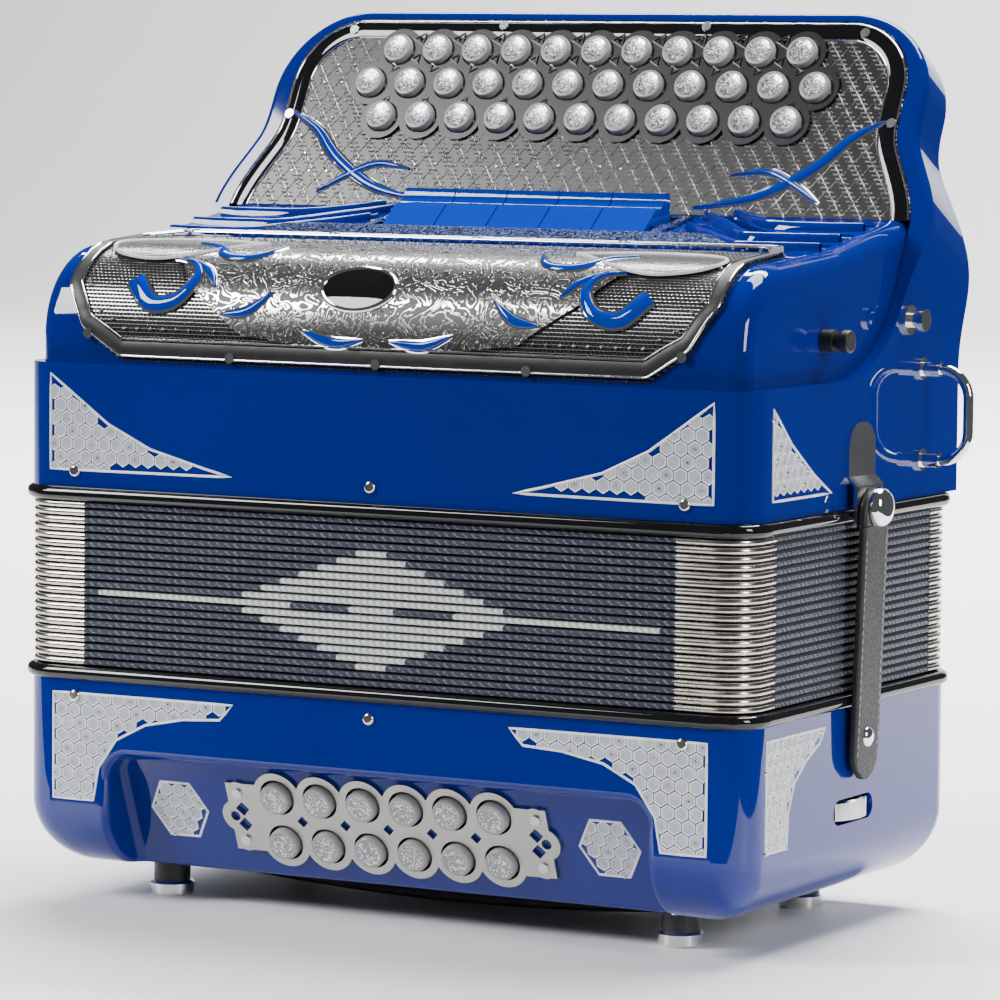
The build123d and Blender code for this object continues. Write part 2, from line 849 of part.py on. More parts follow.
with BuildPart() as treble_outer:
    with BuildSketch(Plane.YZ) as side_profile:
        with BuildLine():
            Line((front_y, treble_bottom), (front_y, band_top))
            Line((front_y, band_top), (seam_start_y, band_top))
            TangentArc((seam_start_y, band_top), seam_end, tangent=(1, 0))
            Polyline(
                seam_end,
                key_point(key_top, 0),
                key_point(key_top, key_slab),
                (back_y, back_meets_slab),
                (back_y, treble_bottom),
                (front_y, treble_bottom),
            )
        make_face()
        kink = side_profile.vertices().sort_by_distance((back_y, back_meets_slab, 0))[0]
        fillet(kink, back_bend_radius)
    extrude(amount=half_width + 2 * key_flare_out, both=True)
    extrude(key_shape, amount=case_depth, both=True, mode=Mode.INTERSECT)
    corners = treble_outer.edges().filter_by(
        lambda e: e.center().Z < band_top and e.bounding_box().size.Z > band_height - 1
    )
    fillet(corners, case_corner)

with BuildPart() as treble_cavity:
    with BuildSketch(Plane.YZ):
        Polygon(
            (front_y + wall, hood_seat),
            (front_y + wall, band_top + case_depth),
            key_point(key_split + 2 * treble_cavity_above_split, -case_depth / 4),
            key_point(key_split + treble_cavity_above_split, 0),
            key_point(key_split + treble_cavity_above_split, key_slab - key_back_wall),
            (back_y - wall, back_meets_slab - treble_cavity_bend),
            (back_y - wall, hood_seat),
            align=None,
        )
    extrude(amount=half_width - wall, both=True)
    fillet(treble_cavity.edges().filter_by(Axis.Z).group_by(Axis.Y)[0], hood_edge_round)
    add(rounded_slab(wall + seat_ledge, treble_board_top - fit_gap, hood_seat + fit_gap))
    add(rounded_slab(wall, treble_bottom - wall, treble_board_top))

treble_split = Plane(
    origin=key_plane.from_local_coords((0, key_split, 0)),
    x_dir=(1, 0, 0),
    z_dir=key_plane.y_dir,
)

with BuildPart() as treble_casing:
    add(treble_outer.part)
    add(treble_cavity.part, mode=Mode.SUBTRACT)
    split(bisect_by=treble_split, keep=Keep.BOTTOM)
treble_casing.part.label = "treble_casing"
export_step(treble_casing.part, "parts/treble_casing.step")

with BuildPart() as keyboard_frame:
    add(treble_outer.part)
    split(bisect_by=treble_split, keep=Keep.TOP)
    front_face = keyboard_frame.faces().sort_by(key_axis)[-1]
    fillet(front_face.edges().filter_by(above_split), key_edge_round)
    extrude(plate_shape, amount=-plate_thickness, mode=Mode.SUBTRACT)
    extrude(pocket_shape, amount=-(key_slab - key_back_wall), mode=Mode.SUBTRACT)
keyboard_frame.part.label = "keyboard_frame"
export_step(keyboard_frame.part, "parts/keyboard_frame.step")

# ---------------------------------------------------------------- keyboard plate and buttons

treble_grids = [
    [(x, (1 - row) * treble_row_spacing) for x in row_places(count, treble_pitch)]
    for row, count in enumerate(treble_row_counts)
]
treble_grid = [place for grid in treble_grids for place in grid]
plate_face = key_face(
    plate_border + fit_gap, plate_top_border + fit_gap, 2 * key_split, key_plane
)

with BuildPart() as keyboard_plate:
    extrude(plate_face, amount=-plate_thickness)
    split(bisect_by=treble_split, keep=Keep.TOP)
    with BuildSketch(key_plane):
        with Locations(*treble_grid):
            Circle(bezel_ring)
        with BuildLine():
            long_reach = treble_grids[1][-1][0]
            short_reach = treble_grids[0][-1][0]
            Polyline(
                (-long_reach, 0),
                (-short_reach, treble_row_spacing),
                (short_reach, treble_row_spacing),
                (long_reach, 0),
                (short_reach, -treble_row_spacing),
                (-short_reach, -treble_row_spacing),
                (-long_reach, 0),
            )
        make_face()
    extrude(amount=bezel_height)
    with BuildSketch(key_plane.offset(bezel_height)):
        with Locations(*treble_grid):
            Circle(treble_hole_diameter / 2)
    extrude(amount=-(bezel_height + plate_thickness), mode=Mode.SUBTRACT)
keyboard_plate.part.label = "keyboard_plate"
export_step(keyboard_plate.part, "parts/keyboard_plate.step")

button_bottom = treble_button_stand - button_cap_length
stem_bottom = button_bottom - treble_stem_length

for row, grid in enumerate(treble_grids, start=1):
    with BuildPart() as button_row:
        with BuildSketch(key_plane.offset(treble_button_stand)):
            with Locations(*grid):
                Circle(button_diameter / 2)
        extrude(amount=-button_cap_length)
        fillet(button_row.faces().group_by(key_axis)[-1].edges(), button_edge_round)
        with BuildSketch(key_plane.offset(button_bottom)):
            with Locations(*grid):
                Circle(stem_diameter / 2)
        extrude(amount=-treble_stem_length)
    button_row.part.label = f"button_row_{row}"
    export_step(button_row.part, f"parts/button_row_{row}.step")

# ---------------------------------------------------------------- levers and pallets

axle_y, axle_z = key_point(-lever_axle_below_keys, lever_axle_depth)
axle_plane = Plane(origin=(0, axle_y, axle_z), x_dir=(0, 1, 0), z_dir=(1, 0, 0))
tail_depth = lever_gap - stem_bottom
pallet_bottom = treble_board_top + fit_gap
pallet_top = pallet_bottom + pallet_thickness
longest_row = max(treble_row_counts)
axle_reach = (longest_row * treble_pitch + lever_width) / 2 + bracket_thickness

with BuildPart() as lever_axle:
    with BuildSketch(axle_plane.offset(-axle_reach)):
        Circle(lever_axle_diameter / 2)
    extrude(amount=2 * axle_reach)
    for side in (-1, 1):
        with BuildSketch(axle_plane.offset(side * axle_reach)):
            Circle(lever_hub_diameter / 2)
            with Locations((0, 0)):
                Rectangle(
                    back_y - wall - axle_y,
                    axle_bracket_height,
                    align=(Align.MIN, Align.CENTER),
                )
        extrude(amount=side * axle_bracket_thickness)
lever_axle.part.label = "lever_axle"
export_step(lever_axle.part, "parts/lever_axle.step")

for row, grid in enumerate(treble_grids):
    shift = lever_row_shift[row]
    up = grid[0][1]
    pallet_y = treble_rows[row][1]
    foot = stem_diameter / 2
    with BuildPart() as lever:
        with BuildSketch(Plane.YZ.offset(shift - lever_width / 2)):
            Polygon(
                key_point(-lever_axle_below_keys, tail_depth),
                key_point(up + foot, tail_depth),
                key_point(up + foot, tail_depth + lever_thickness),
                key_point(-lever_axle_below_keys, tail_depth + lever_thickness),
                align=None,
            )
            Polygon(
                (axle_y, axle_z + lever_width),
                (pallet_y, pallet_top + lever_width),
                (pallet_y, pallet_top),
                (pallet_y + pallet_heel, pallet_top),
                (axle_y, axle_z - lever_width),
                align=None,
            )
            with Locations((axle_y, axle_z)):
                Circle(lever_hub_diameter / 2)
        extrude(amount=lever_width)
        with BuildSketch(key_plane.offset(-tail_depth)):
            with Locations((shift / 2, up)):
                Rectangle(abs(shift) + stem_diameter, stem_diameter)
        extrude(amount=-lever_thickness)
        with BuildSketch(Plane.XY.offset(pallet_bottom)):
            with Locations((0, pallet_y)):
                Rectangle(pallet_width, pallet_length)
        extrude(amount=pallet_thickness)
        with BuildSketch(axle_plane):
            Circle(lever_axle_diameter / 2 + lever_axle_clearance)
        extrude(amount=treble_pitch, both=True, mode=Mode.SUBTRACT)
    with BuildPart() as lever_row:
        with Locations(*[(x, 0, 0) for x, _ in grid]):
            add(lever.part)
    lever_row.part.label = f"lever_row_{row + 1}"
    export_step(lever_row.part, f"parts/lever_row_{row + 1}.step")

# ---------------------------------------------------------------- hood and grille

joint_y, joint_z = key_point(key_split, 0)
hood_back = back_y - wall - fit_gap


def hood_profile(inset):
    """Side view of the hood, drawn in by `inset`, with its bullnose front edge."""
    front = hood_front + inset
    drop = inset / cos(radians(hood_slope))
    kink = joint_y - hood_kink_from_keys
    base = hood_seat - (inset if inset > 0 else 0)
    with BuildSketch(Plane.YZ) as profile:
        Polygon(
            (front, base),
            (front, top_of_hood(front) - drop),
            (kink, top_of_hood(kink) - drop),
            (hood_back, top_of_hood(hood_back) - drop),
            (hood_back, base),
            align=None,
        )
        nose = profile.vertices().sort_by_distance((front, top_of_hood(front) - drop, 0))[0]
        fillet(nose, hood_bullnose - inset)
    return profile.sketch


def slot_between(start, end):
    """Round-ended slot from one point to another, in the sketch that is open."""
    along = Vector(*end) - Vector(*start)
    with Locations((Vector(*start) + Vector(*end)) / 2):
        SlotCenterToCenter(along.length, slot_width, rotation=degrees(atan2(along.Y, along.X)))


grille_view = Plane(
    origin=(0, hood_front, band_top + grille_above_band), x_dir=(1, 0, 0), z_dir=(0, -1, 1)
)
grille_top_y = front_y + grille_top_from_front
grille_top = grille_view.to_local_coords(Vector(0, grille_top_y, top_of_hood(grille_top_y))).Y


def grille_outline(inset):
    """Outline of the grille seen from the front and above, drawn in by `inset`."""
    with BuildSketch(grille_view) as outline:
        right = [
            (grille_bottom_half - inset / 2, inset),
            (grille_low_half - inset, grille_low_up + inset / 2),
            (grille_widest_half - inset, grille_widest_up),
            (grille_shoulder_half - inset, grille_top - grille_shoulder_down),
            (grille_top_half - inset / 2, grille_top - inset),
        ]
        Polygon(*right, *[(-x, y) for x, y in reversed(right)], align=None)
        fillet(outline.vertices(), grille_corner_round)
    return outline.sketch


register_y = joint_y - register_front_from_keys
hood_plane = Plane(
    origin=(0, joint_y, joint_z),
    x_dir=(1, 0, 0),
    z_dir=(0, -sin(radians(hood_slope)), cos(radians(hood_slope))),
)
window_half = (register_count * register_pitch) / 2 + register_window_side
window_front = register_y - register_window_gap
window_back = register_y + register_length + register_window_gap
knob_y = front_y + knob_from_front
knob_z = band_top + knob_above_band

with BuildPart() as treble_hood:
    extrude(hood_profile(0), amount=hood_half_width, both=True)
    rims = treble_hood.edges().filter_by(
        lambda e: abs(abs(e.center().X) - hood_half_width) < fit_gap
        and e.center().Z > hood_seat + fit_gap
        and e.center().Y < hood_back - fit_gap
    )
    fillet(rims, hood_edge_round)
    extrude(
        hood_profile(hood_wall), amount=hood_half_width - hood_wall, both=True, mode=Mode.SUBTRACT
    )
    split(bisect_by=treble_split.offset(-fit_gap), keep=Keep.BOTTOM)
    window = grille_outline(grille_window_border)
    extrude(window, amount=case_depth / 2, both=True, mode=Mode.SUBTRACT)
    with BuildSketch(Plane.XY.offset(hood_seat + hood_bullnose)):
        with Locations((0, (window_front + window_back) / 2)):
            Rectangle(2 * window_half, window_back - window_front)
    extrude(amount=case_depth, mode=Mode.SUBTRACT)
    for side in (-1, 1):
        for step in range(slot_count):
            slot_y = slot_first_y + step * slot_spacing
            run = min(slot_run, (joint_y - slot_end_gap - slot_y) / slot_rise)
            bend = (side * slot_bend_x, slot_y)
            inner = (side * (slot_bend_x - run), slot_y + run * slot_rise)
            with BuildSketch(Plane.XY.offset(hood_seat + hood_bullnose)):
                slot_between((side * slot_outer_x, slot_y), bend)
                slot_between(bend, inner)
            extrude(amount=case_depth, mode=Mode.SUBTRACT)
    with BuildSketch(side_plane(hood_half_width)):
        with Locations((knob_y, knob_z)):
            Circle(knob_shaft_diameter / 2 + lever_axle_clearance)
    extrude(amount=-2 * hood_wall, mode=Mode.SUBTRACT)
treble_hood.part.label = "treble_hood"
export_step(treble_hood.part, "parts/treble_hood.step")

with BuildPart() as grille_plate:
    extrude(hood_profile(-fit_gap - grille_thickness), amount=grille_widest_half, both=True)
    extrude(hood_profile(-fit_gap), amount=case_width, both=True, mode=Mode.SUBTRACT)
    extrude(grille_outline(0), amount=case_depth / 2, both=True, mode=Mode.INTERSECT)
grille_plate.part.label = "grille_plate"
export_step(grille_plate.part, "parts/grille_plate.step")

# Screws of the grille and of the keyboard plate
grille_face_y = hood_front - fit_gap - grille_thickness
grille_lift = (fit_gap + grille_thickness) / cos(radians(hood_slope))
grille_top_plane = Plane(
    origin=(0, grille_top_y, top_of_hood(grille_top_y) + grille_lift),
    x_dir=(1, 0, 0),
    z_dir=(0, -sin(radians(hood_front_slope)), cos(radians(hood_front_slope))),
)
key_screws = [
    (side * along, up)
    for side in (-1, 1)
    for along, up in ((121.0, 26.0), (48.0, 28.5), (142.0, -15.0))
]

with BuildPart() as plate_screws:
    with BuildSketch(key_plane):
        with Locations(*key_screws):
            Circle(screw_diameter / 2)
    extrude(amount=screw_height)
    with BuildSketch(Plane.XZ.offset(-grille_face_y)):
        low_screws = [(x, band_top + screw_above_band) for x in row_places(3, screw_spacing)]
        end_screws = [(side * 2 * screw_spacing, band_top + end_screw_above_band) for side in (-1, 1)]
        with Locations(*low_screws, *end_screws):
            Circle(screw_diameter / 2)
    extrude(amount=screw_height)
    with BuildSketch(grille_top_plane):
        with Locations(*[(x, -screw_from_edge) for x in row_places(3, screw_spacing)]):
            Circle(screw_diameter / 2)
        with Locations(*[(side * 2 * screw_spacing, -2.5 * screw_from_edge) for side in (-1, 1)]):
            Circle(screw_diameter / 2)
    extrude(amount=screw_height)
plate_screws.part.label = "plate_screws"
export_step(plate_screws.part, "parts/plate_screws.step")

# ---------------------------------------------------------------- register switches

register_axle_y = register_y + register_length * 0.5 + 1.0
register_axle_z = top_of_hood(register_axle_y) - hood_wall - register_hub_diameter / 2 + 1.0
register_plane = Plane(
    origin=(0, register_axle_y, register_axle_z), x_dir=(0, 1, 0), z_dir=(1, 0, 0)
)
lip_front = joint_y - hood_kink_from_keys + fit_gap
ring_half = window_half + ring_border

with BuildPart() as register_housing:
    with BuildSketch(hood_plane.offset(fit_gap)) as ring:
        ring_near = (window_front - joint_y) / cos(radians(hood_slope))
        ring_far = (window_back - joint_y) / cos(radians(hood_slope))
        lip_near = (lip_front - joint_y) / cos(radians(hood_slope))
        with Locations((0, lip_near)):
            Rectangle(
                2 * ring_half, ring_far + ring_border - lip_near, align=(Align.CENTER, Align.MIN)
            )
        with Locations((0, (ring_near + ring_far) / 2)):
            Rectangle(2 * window_half, ring_far - ring_near, mode=Mode.SUBTRACT)
    extrude(amount=ring_thickness)
    with BuildSketch(hood_plane.offset(fit_gap)):
        Polygon(
            (-lip_half_bottom, lip_near),
            (lip_half_bottom, lip_near),
            (register_housing_half, lip_near + lip_width),
            (-register_housing_half, lip_near + lip_width),
            align=None,
        )
    extrude(amount=register_lip_height)
    lip_edge = (
        register_housing.faces()
        .group_by(Axis(hood_plane.origin, hood_plane.z_dir))[-1]
        .edges()
        .sort_by(Axis.Y)[0]
    )
    chamfer(lip_edge, register_lip_height - ring_thickness, lip_width * 0.6)
    for side in (-1, 1):
        with BuildSketch(register_plane.offset(side * (window_half - fit_gap))):
            with Locations((0, 0)):
                Circle(register_hub_diameter / 2)
                Rectangle(
                    register_hub_diameter,
                    top_of_hood(register_axle_y) + fit_gap + ring_thickness - register_axle_z,
                    align=(Align.CENTER, Align.MIN),
                )
        extrude(amount=-side * lug_thickness)
    with BuildSketch(hood_plane.offset(fit_gap)):
        for side in (-1, 1):
            with Locations((side * (window_half - fit_gap), (ring_near + ring_far) / 2)):
                Rectangle(2 * lug_thickness, register_hub_diameter)
        Rectangle(
            2 * (window_half - lug_thickness),
            2 * case_depth,
            mode=Mode.SUBTRACT,
        )
    extrude(amount=ring_thickness)
    with BuildSketch(register_plane.offset(-window_half + fit_gap)):
        Circle(register_axle_diameter / 2)
    extrude(amount=2 * (window_half - fit_gap))
register_housing.part.label = "register_housing"
export_step(register_housing.part, "parts/register_housing.step")

for number, x in enumerate(row_places(register_count, register_pitch), start=1):
    with BuildPart() as register_switch:
        with BuildSketch(register_plane.offset(x - (register_pitch - register_gap) / 2)):
            with BuildLine():
                Polyline((9.0, 22.0), (13.0, 22.0), (14.0, 5.0), (0, -2.0), (-15.0, 3.5))
                Line((-15.0, 3.5), (1.0, 16.0))
                Spline((1.0, 16.0), (5.0, 16.2), (9.0, 22.0), tangents=[(1, -0.4), (0.25, 1)])
            make_face()
            Circle(register_hub_diameter / 2)
            Circle(register_axle_diameter / 2 + lever_axle_clearance, mode=Mode.SUBTRACT)
        extrude(amount=register_pitch - register_gap)
    register_switch.part.label = f"register_switch_{number}"
    export_step(register_switch.part, f"parts/register_switch_{number}.step")

# ---------------------------------------------------------------- tone knob, strap buttons, handles

knob_plane = Plane(origin=(hood_half_width, knob_y, knob_z), x_dir=(0, 1, 0), z_dir=(1, 0, 0))

with BuildPart() as tone_knob:
    with BuildSketch(knob_plane.offset(-knob_shaft_inside)):
        Circle(knob_shaft_diameter / 2)
    extrude(amount=knob_shaft_inside + fit_gap)
    with BuildSketch(knob_plane.offset(fit_gap)):
        Circle(knob_diameter / 2)
    extrude(amount=knob_base_length)
    with BuildSketch(knob_plane.offset(fit_gap + knob_base_length)):
        Circle(knob_shaft_diameter / 2)
    with BuildSketch(knob_plane.offset(fit_gap + knob_base_length + knob_flare_length)):
        Circle(knob_diameter / 2)
    loft()
    with BuildSketch(knob_plane.offset(fit_gap + knob_base_length + knob_flare_length)):
        Circle(knob_diameter / 2)
    extrude(amount=knob_head_length)
    fillet(tone_knob.faces().sort_by(Axis.X)[-1].edges(), button_edge_round)
tone_knob.part.label = "tone_knob"
export_step(tone_knob.part, "parts/tone_knob.step")

strap_button_y = back_y - strap_button_from_back
strap_button_z = band_top + strap_button_above_band

with BuildPart() as strap_buttons:
    for side in (-1, 1):
        button_face = Plane(
            origin=(side * (half_width + strap_button_seat), strap_button_y, strap_button_z),
            x_dir=(0, 1, 0),
            z_dir=(side, 0, 0),
        )
        reach = 0
        for radius, length in strap_button_steps:
            with BuildSketch(button_face.offset(reach)):
                Circle(radius)
            extrude(amount=length)
            reach += length
strap_buttons.part.label = "strap_buttons"
export_step(strap_buttons.part, "parts/strap_buttons.step")

handle_y = back_y - handle_from_back
handle_low_z = treble_bottom + handle_low_above_bottom
handle_high_z = handle_low_z + handle_spread
handle_x = half_width + handle_out

with BuildPart() as strap_handles:
    for side in (-1, 1):
        handle_plane = Plane(origin=(0, handle_y, 0), x_dir=(side, 0, 0), z_dir=(0, -side, 0))
        with BuildLine(handle_plane) as handle_line:
            FilletPolyline(
                (half_width + 0.5, handle_low_z),
                (handle_x, handle_low_z),
                (handle_x, handle_high_z),
                (half_width + 0.5, handle_high_z),
                radius=handle_bend,
            )
        start = Plane(
            origin=handle_line.line @ 0, x_dir=(0, 1, 0), z_dir=handle_line.line % 0
        )
        with BuildSketch(start) as handle_section:
            Circle(handle_wire / 2)
        sweep(sections=handle_section.sketch, path=handle_line.line)
        for z in (handle_low_z, handle_high_z):
            post = Plane(origin=(side * half_width, handle_y, z), x_dir=(0, 1, 0), z_dir=(side, 0, 0))
            with BuildSketch(post):
                Circle(handle_flange_diameter / 2)
            extrude(amount=bracket_thickness)
            with BuildSketch(post):
                Circle(handle_collar_diameter / 2)
            extrude(amount=handle_collar_length)
strap_handles.part.label = "strap_handles"
export_step(strap_handles.part, "parts/strap_handles.step")

# ---------------------------------------------------------------- bellows straps

bracket_bend = treble_bottom + bracket_bend_above_bottom
bracket_top = treble_bottom + bracket_top_above_bottom
tongue_out = bracket_out + bracket_thickness
dome_z = treble_bottom + dome_above_bottom
strap_hinge_z = treble_bottom - strap_hinge_below
strap_inner_x = half_width + tongue_out + fit_gap
strap_end_bottom = strap_hinge_z + strap_thickness + fit_gap


def near_bracket_top(edge):
    """Whether an edge is one of the two upright corners at a bracket's top."""
    return edge.center().Z > bracket_top - fit_gap



with BuildPart() as strap_brackets:
    for side in (-1, 1):
        with BuildSketch(Plane.XZ.offset(-strap_y - bracket_width / 2)) as bracket_side:
            bracket_points = [
                (half_width, bracket_top),
                (half_width + bracket_thickness, bracket_top),
                (half_width + bracket_thickness, bracket_bend),
                (half_width + tongue_out, bracket_bend - bracket_out),
                (half_width + tongue_out, dome_z - dome_diameter / 2),
                (half_width + bracket_out, dome_z - dome_diameter / 2),
                (half_width + bracket_out, bracket_bend - bracket_out),
                (half_width, bracket_bend),
            ]
            Polygon(*[(side * x, z) for x, z in bracket_points], align=None)
        extrude(amount=bracket_width)
        plate_top = strap_brackets.edges().filter_by(Axis.X).filter_by(near_bracket_top)
        fillet(plate_top, bracket_top_round)
        dome_face = Plane(
            origin=(side * (half_width + tongue_out), strap_y, dome_z),
            x_dir=(0, 1, 0),
            z_dir=(side, 0, 0),
        )
        dome_lift = strap_thickness + 2 * fit_gap
        with BuildSketch(dome_face):
            Circle(stem_diameter / 2)
        extrude(amount=dome_lift)
        with BuildSketch(dome_face.offset(dome_lift)):
            Circle(dome_diameter / 2)
        extrude(amount=dome_height)
        dome_top = strap_brackets.faces().sort_by(Axis.X)[-1 if side > 0 else 0]
        fillet(dome_top.edges(), dome_height - fit_gap)
strap_brackets.part.label = "strap_brackets"
export_step(strap_brackets.part, "parts/strap_brackets.step")

with BuildPart() as strap_top_ends:
    for side in (-1, 1):
        with BuildSketch(
            Plane(
                origin=(side * strap_inner_x, strap_y, strap_end_bottom),
                x_dir=(0, 1, 0),
                z_dir=(side, 0, 0),
            )
        ):
            reach = (dome_z - strap_end_bottom + strap_width / 3) * side
            Rectangle(
                strap_width,
                abs(reach),
                align=(Align.CENTER, Align.MIN if side > 0 else Align.MAX),
            )
            with Locations((0, (dome_z - strap_end_bottom) * side)):
                Circle(stem_diameter / 2 + fit_gap, mode=Mode.SUBTRACT)
        extrude(amount=strap_thickness)
strap_top_ends.part.label = "strap_top_ends"
export_step(strap_top_ends.part, "parts/strap_top_ends.step")

strap_hang = strap_hinge_z - strap_bottom_above_floor
strap_lean = degrees(atan2(strap_inner_x - half_width - strap_end_clear, strap_hang))

for side, side_name in ((1, "right"), (-1, "left")):
    strap_face = Plane(
        origin=(side * strap_inner_x, strap_y, strap_hinge_z),
        x_dir=(0, 1, 0),
        z_dir=(side * cos(radians(strap_lean)), 0, -sin(radians(strap_lean))),
    )
    with BuildPart() as bellows_strap:
        with BuildSketch(strap_face):
            down = -side
            Rectangle(
                strap_width,
                strap_hang - strap_width / 2,
                align=(Align.CENTER, Align.MAX if side > 0 else Align.MIN),
            )
            with Locations((0, down * (strap_hang - strap_width / 2))):
                Circle(strap_width / 2)
        extrude(amount=strap_thickness)
        with BuildSketch(Plane.XZ.offset(-strap_y - strap_width / 2)):
            with Locations((side * (strap_inner_x + strap_thickness), strap_hinge_z)):
                Circle(strap_thickness)
                Rectangle(
                    strap_thickness,
                    2 * strap_thickness,
                    align=(Align.MAX if side > 0 else Align.MIN, Align.CENTER),
                    mode=Mode.INTERSECT,
                )
        extrude(amount=strap_width)
    bellows_strap.part.label = f"bellows_strap_{side_name}"
    export_step(bellows_strap.part, f"parts/bellows_strap_{side_name}.step")

# ---------------------------------------------------------------- pins and studs

pin_places = [-(half_width - pin_from_end), 0, half_width - pin_from_end]


def bellows_pins(z):
    """Domed pins along the front and the back of a casing."""
    with BuildPart() as pins:
        for side in (-1, 1):
            face = Plane(
                origin=(0, case_mid_y + side * case_depth / 2, 0),
                x_dir=(1, 0, 0),
                z_dir=(0, side, 0),
            )
            with BuildSketch(face):
                with Locations(*[(x, -side * z) for x in pin_places]):
                    Circle(pin_diameter / 2)
            extrude(amount=pin_height)
            heads = pins.faces().group_by(Axis.Y)[-1 if side > 0 else 0]
            fillet(heads.edges(), pin_height - fit_gap)
    return pins.part


with BuildPart() as treble_bellows_pins:
    add(bellows_pins(treble_bottom + pin_from_bead))
treble_bellows_pins.part.label = "treble_bellows_pins"
export_step(treble_bellows_pins.part, "parts/treble_bellows_pins.step")

stud_z = strap_bottom_above_floor + stud_from_strap_end

with BuildPart() as bass_pins_and_screws:
    add(bellows_pins(bass_top - pin_from_bead))
    for side in (-1, 1):
        with BuildSketch(
            Plane(origin=(side * half_width, strap_y, stud_z), x_dir=(0, 1, 0), z_dir=(side, 0, 0))
        ):
            Circle(stud_diameter / 2)
        extrude(amount=stud_height)
    with BuildSketch(recess_plane.offset(bass_plate_thickness)):
        with GridLocations(2 * bass_screw_spread, 2 * bass_screw_height, 2, 2):
            Circle(screw_diameter / 2)
    extrude(amount=screw_height)
bass_pins_and_screws.part.label = "bass_pins_and_screws"
export_step(bass_pins_and_screws.part, "parts/bass_pins_and_screws.step")

# ---------------------------------------------------------------- hand strap and its wheel

with BuildPart() as strap_wheel:
    with BuildSketch(Plane(origin=(*wheel_centre, wheel_level - wheel_thickness / 2))):
        Circle(wheel_diameter / 2)
        Circle(wheel_axle_diameter / 2 + wheel_axle_clearance, mode=Mode.SUBTRACT)
    extrude(amount=wheel_thickness)
    rim = strap_wheel.edges().filter_by(GeomType.CIRCLE).group_by(SortBy.RADIUS)[-1]
    chamfer(rim, wheel_chamfer)
strap_wheel.part.label = "strap_wheel"
export_step(strap_wheel.part, "parts/strap_wheel.step")

hand_bracket_x = hand_strap_half_length + 1.0
bracket_inner_reach = half_width - wall - seat_ledge - wheel_centre[0]

with BuildPart() as hand_strap_fittings:
    with BuildSketch(Plane.XY.offset(bass_bottom)):
        with Locations((-hand_bracket_x, case_mid_y), (hand_bracket_x, case_mid_y)):
            Rectangle(hand_bracket_width, hand_strap_width + 2 * bracket_thickness + 3)
    extrude(amount=-bracket_thickness)
    for side in (-1, 1):
        wheel_side = wheel_level + side * (wheel_thickness / 2 + fit_gap)
        with BuildSketch(Plane(origin=(*wheel_centre, wheel_side))):
            Rectangle(
                bracket_inner_reach, bracket_arm_width, align=(Align.MIN, Align.CENTER)
            )
            Circle(bracket_arm_width / 2)
        extrude(amount=side * bracket_thickness)
    axle_half = wheel_thickness / 2 + fit_gap
    with BuildSketch(Plane(origin=(*wheel_centre, wheel_level - axle_half))):
        Circle(wheel_axle_diameter / 2)
    extrude(amount=2 * axle_half)
hand_strap_fittings.part.label = "hand_strap_fittings"
export_step(hand_strap_fittings.part, "parts/hand_strap_fittings.step")

strap_end_z = bass_bottom - bracket_thickness - fit_gap

with BuildPart() as hand_strap:
    with BuildSketch(Plane.XZ.offset(-case_mid_y - hand_strap_width / 2)):
        with BuildLine():
            ThreePointArc(
                (-hand_strap_half_length, strap_end_z - hand_strap_thickness),
                (0, hand_strap_low),
                (hand_strap_half_length, strap_end_z - hand_strap_thickness),
            )
            Line(
                (hand_strap_half_length, strap_end_z - hand_strap_thickness),
                (hand_strap_half_length, strap_end_z),
            )
            ThreePointArc(
                (hand_strap_half_length, strap_end_z),
                (0, hand_strap_low + hand_strap_thickness),
                (-hand_strap_half_length, strap_end_z),
            )
            Line(
                (-hand_strap_half_length, strap_end_z),
                (-hand_strap_half_length, strap_end_z - hand_strap_thickness),
            )
        make_face()
    extrude(amount=hand_strap_width)
hand_strap.part.label = "hand_strap"
export_step(hand_strap.part, "parts/hand_strap.step")
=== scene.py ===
import json
import math
import random

import bmesh
import bpy
from bpy.props import FloatProperty, FloatVectorProperty, IntProperty
from mathutils import Matrix, Vector
from mathutils.bvhtree import BVHTree


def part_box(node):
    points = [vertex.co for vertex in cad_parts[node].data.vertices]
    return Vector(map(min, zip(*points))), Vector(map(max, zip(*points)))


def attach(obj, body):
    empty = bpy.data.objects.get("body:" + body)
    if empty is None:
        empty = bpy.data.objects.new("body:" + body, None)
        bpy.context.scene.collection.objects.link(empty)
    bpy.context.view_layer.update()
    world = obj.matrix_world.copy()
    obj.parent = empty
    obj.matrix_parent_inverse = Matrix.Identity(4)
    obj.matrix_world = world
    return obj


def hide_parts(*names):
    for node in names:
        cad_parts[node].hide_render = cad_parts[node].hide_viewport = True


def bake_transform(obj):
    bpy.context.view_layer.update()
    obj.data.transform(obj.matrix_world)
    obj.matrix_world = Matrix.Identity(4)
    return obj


bl_info = {
    "name": "Button accordion",
    "version": (1, 0, 0),
    "blender": (4, 5, 0),
    "location": "3D View > Sidebar > Accordion",
    "description": "Finishes and fine pieces of a three-row button accordion, built on its CAD frame",
    "category": "Object",
}

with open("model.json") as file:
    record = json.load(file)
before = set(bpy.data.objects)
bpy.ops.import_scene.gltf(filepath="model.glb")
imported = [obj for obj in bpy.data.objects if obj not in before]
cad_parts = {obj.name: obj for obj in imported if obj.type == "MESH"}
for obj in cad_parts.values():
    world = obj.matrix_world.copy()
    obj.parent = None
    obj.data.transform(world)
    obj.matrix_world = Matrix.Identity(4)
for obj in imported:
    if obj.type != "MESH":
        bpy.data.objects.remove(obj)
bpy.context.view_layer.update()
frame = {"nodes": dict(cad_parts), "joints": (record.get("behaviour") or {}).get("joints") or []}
MM = 0.001
JOINTS = {joint["name"]: joint for joint in frame["joints"]}

# ---------------------------------------------------------------- places read from the frame


